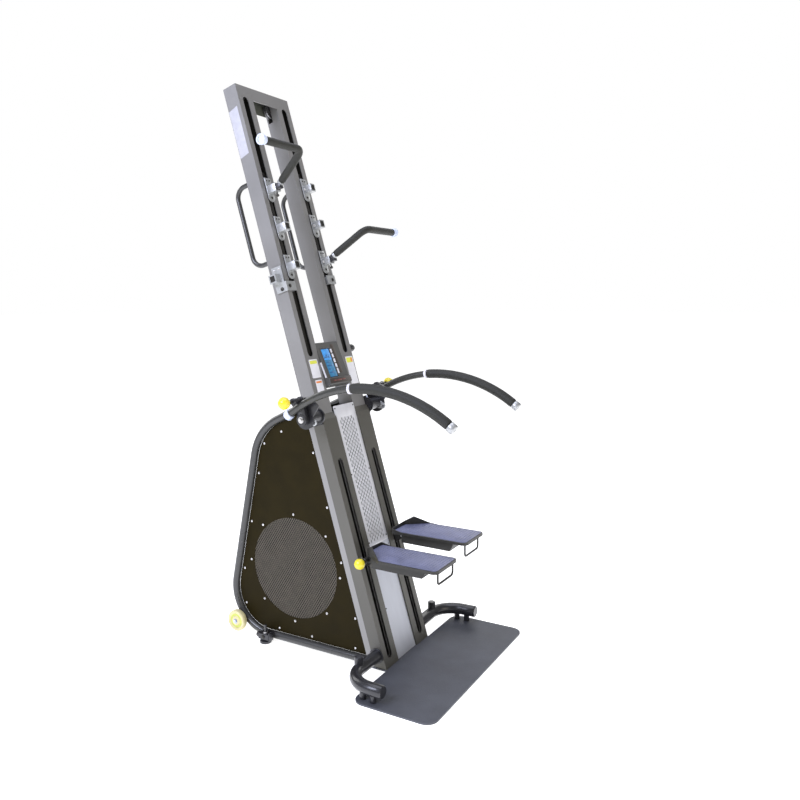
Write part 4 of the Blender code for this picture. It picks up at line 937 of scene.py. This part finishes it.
def make_panel_seal(name, side):
    """A dark strip behind the panel's edge, out to the side tube."""
    strip = plate(panel_outline(0.0143), -0.0001, 0.0001, 0.00004, [panel_outline(TUBE_RADIUS + 0.010)])
    moved(strip, Matrix.Translation((side * (PANEL_X - 0.0002), 0, 0)) @ TO_SIDE)
    trimmed(strip, on_mast(0, STILE_BACK + GAP, 0.5), mast_way((0, 1, 0)))
    piece(name + "_panel_seal", strip, "dark", "frame")


def make_grille(name, side):
    """Wire mesh, flush with the panel and cut off at the opening's edge, over a dark backing disc."""
    y, z = FAN_CENTRE
    pitch, wide, thick, reach = 0.0090, 0.0019, 0.0008, GRILLE_OPENING - 0.0005
    shapes = []
    count = int(reach / pitch)
    for layer, turn in enumerate((radians(33), radians(-33))):
        rotate = Matrix.Rotation(turn, 4, "Z")
        for index in range(-count, count + 1):
            offset = index * pitch
            half = sqrt(reach * reach - offset * offset)
            low, high = layer * thick, (layer + 1) * thick
            bar = block((offset - wide / 2, -half, low), (offset + wide / 2, half, high), 0)
            shapes.append(moved(bar, rotate))
    place = Matrix.Translation((side * (PANEL_X + 0.0012) - thick, y, z)) @ TO_SIDE
    piece(name + "_wire_grille", moved(together(shapes), place), "mesh", "frame")
    disc = plate(circle((0, 0), GRILLE_RADIUS - 0.001, 96), -0.0005, 0.0005, 0.0002)
    place = Matrix.Translation((side * (PANEL_X - 0.0020), y, z)) @ TO_SIDE
    grille = (name + "_fan_grille",)
    piece(name + "_grille_backing", moved(disc, place), "dark", "frame", grille)


def make_wheel(name, side):
    rim, half = WHEEL_RADIUS, 0.0145
    face = [(0.0068, 0.001), (0.0165, 0.001), (0.0180, 0.0018), (0.0215, 0.0065), (0.0300, 0.0065)]
    face += [(0.0335, 0.0022), (0.0385, 0.0008), (0.0415, 0.0018), (rim - 0.0006, 0.0055), (rim, 0.0085)]
    outer = [(radius, half - depth) for radius, depth in face]
    profile = outer + [(radius, -height) for radius, height in outer[::-1]]
    centre = (side * WHEEL_X, *WHEEL_CENTRE)
    wheel = moved(lathe(profile, 56, closed=True), aimed(centre, (side, 0, 0)))
    body = name + "_wheel"
    piece(name + "_wheel_tyre", wheel, "cream", body, (name + "_transport_wheel",))
    recess = lathe([(0.0216, 0), (0.0299, 0), (0.0299, 0.0008), (0.0216, 0.0008)], 48, closed=True)
    place = aimed((side * (WHEEL_X + half - 0.0064), *WHEEL_CENTRE), (side, 0, 0))
    piece(name + "_wheel_recess", moved(recess, place), "lime", body)
    places = [((side * (WHEEL_X + half - 0.0004), *WHEEL_CENTRE), (side, 0, 0))]
    fasteners(name + "_wheel_bolt", places, 0.0078, 0.0058, "frame", "hub", hex_bolt)


def make_foot_details(name, side):
    x, y = FOOT
    places = [((side * 0.2191, y, 0.029), (side, 0, 0))]
    fasteners(name + "_clamp_bolt", places, 0.0065, 0.0045, "frame", "screw_dark", hex_bolt)
    nut = lathe([(0.0066, 0), (0.0112, 0), (0.0112, 0.0055), (0.0066, 0.0055)], 6, closed=True)
    place = Matrix.Translation((side * x, y, 0.0404))
    piece(name + "_foot_nut", moved(nut, place), "screw", "frame")
    knob = lathe([(0, 0), (0.0110, 0), (0.0125, 0.0015), (0.0125, 0.0130), (0.0105, 0.0160), (0, 0.0165)], 28)
    place = aimed((side * x, y + 0.0262, 0.028), (0, 1, 0))
    piece(name + "_foot_knob", moved(knob, place), "black", "frame")
    flange = block((side * 0.190, y - 0.0312, 0.012), (side * 0.218, y - 0.0262, 0.048), 0.0010)
    piece(name + "_foot_flange", flange, "black", "frame")


# ---- CAD nodes -----------------------------------------------------------------------------------
SHOWN = {
    "stile": "mast", "top_cross_member": "mast", "lower_cross_member": "mast", "mast_cover": "cover",
    "kick_plate": "kick", "console_housing": "plastic", "idler": "steel", "climb_rail": "dark",
    "side_socket": "silver", "pedal": "tread", "side_panel": "panel", "rear_cover": "panel",
    "fan_wheel": "steel", "platform_plate": "mat",
}


def dress_nodes():
    """Gives every CAD node its finish, the same on the left and the right. The rest are black."""
    for node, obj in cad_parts.items():
        obj.data.materials.clear()
        finish = SHOWN.get(node.removeprefix("left_").removeprefix("right_"), "black")
        obj.data.materials.append(FINISH[finish])


# ---- studio --------------------------------------------------------------------------------------
def add_light(name, place, target, size, power, colour):
    data = bpy.data.lights.new(name, "AREA")
    data.shape = "RECTANGLE"
    data.size, data.size_y = size
    data.energy = power
    data.color = colour
    lamp = bpy.data.objects.new(name, data)
    lamp.matrix_world = aimed(place, Vector(place) - Vector(target))
    bpy.context.scene.collection.objects.link(lamp)


def make_studio():
    floor = bmesh.new()
    bmesh.ops.create_grid(floor, x_segments=4, y_segments=4, size=FLOOR_REACH)
    mesh = bpy.data.meshes.new("studio_floor")
    moved(floor, Matrix.Translation((0, 0, -0.0006))).to_mesh(mesh)
    floor.free()
    mesh.materials.append(FINISH["floor"])
    made = bpy.data.objects.new("studio_floor", mesh)
    bpy.context.scene.collection.objects.link(made)
    middle = (0, 0.3, 1.1)
    add_light("key_left", (-4.2, 1.3, 3.8), (0, 0.5, 1.7), (2.6, 2.6), 250, (0.76, 0.80, 1.0))
    add_light("front", (-0.8, -4.4, 1.8), middle, (3.0, 2.4), 34, (1.0, 0.92, 0.80))
    add_light("overhead", (0.2, 0.4, 5.0), middle, (4.0, 4.0), 120, (0.86, 0.88, 1.0))
    add_light("right", (4.2, 0.8, 2.4), middle, (2.6, 2.6), 40, (1.0, 1.0, 1.0))
    add_light("rear", (0.4, 4.4, 2.6), middle, (3.0, 2.6), 60, (1.0, 1.0, 1.0))
    world = bpy.data.worlds.new("studio")
    world.use_nodes = True
    nodes, links = world.node_tree.nodes, world.node_tree.links
    seen = nodes.new("ShaderNodeLightPath")
    strength = nodes.new("ShaderNodeMapRange")
    strength.inputs["To Min"].default_value = SURROUND_LIGHT
    strength.inputs["To Max"].default_value = 1.0
    links.new(seen.outputs["Is Camera Ray"], strength.inputs["Value"])
    links.new(strength.outputs["Result"], nodes["Background"].inputs["Strength"])
    nodes["Background"].inputs["Color"].default_value = (1, 1, 1, 1)
    bpy.context.scene.world = world
    bpy.context.scene.view_settings.view_transform = "Standard"


def make_camera():
    eye, azimuth, pitch, roll = (-2.6242, -1.4342, 1.4417), radians(-59.266), radians(5.661), radians(-0.418)
    look = Vector((-sin(azimuth) * cos(pitch), cos(azimuth) * cos(pitch), -sin(pitch)))
    right = look.cross(Vector((0, 0, 1))).normalized()
    up = right.cross(look)
    turned_right = right * cos(roll) + up * sin(roll)
    turned_up = up * cos(roll) - right * sin(roll)
    data = bpy.data.cameras.new("photo_view")
    data.sensor_width = 36
    data.lens = 34.65
    data.shift_x = 0.0254
    data.shift_y = -0.0345
    data.clip_end = 100
    made = bpy.data.objects.new("photo_view", data)
    basis = Matrix((turned_right, turned_up, -look)).transposed().to_4x4()
    made.matrix_world = Matrix.Translation(eye) @ basis
    bpy.context.scene.collection.objects.link(made)
    bpy.context.scene.camera = made


def make_all():
    make_studio()
    make_camera()
    dress_nodes()
    make_slot_liners()
    make_perforated_plate()
    make_mast_fasteners()
    make_labels()
    make_console()
    make_tension_knob()
    make_chain()
    make_idler_hubs()
    for name, side in SIDES:
        used = 2 if side < 0 else 0
        make_rack(name, side, used)
        make_side_socket_details(name, side)
        make_upper_handle(name, side, SOCKET_HEIGHTS[used])
        make_pedal_details(name, side)
        make_pull_knob(name + "_pedal_knob", name + "_pedal_pin", side, PEDAL_KNOB, PEDAL_KNOB_X,
                       PEDAL_PIN_TIP, PEDAL_PIN, level(side), 0.002)
        make_pull_knob(name + "_bar_knob", name + "_bar_pin", side, BAR_KNOB, BAR_KNOB_X,
                       BAR_PIN_TIP, BAR_PIN, Matrix.Identity(4), 0.010)
        make_handlebar(name, side)
        make_bar_bracket_details(name, side)
        make_side_tube(name, side)
        make_rear_handle(name, side)
        make_base_arm(name, side)
        make_side_panel_details(name, side)
        make_panel_seal(name, side)
        make_grille(name, side)
        make_wheel(name, side)
        make_foot_details(name, side)


make_all()
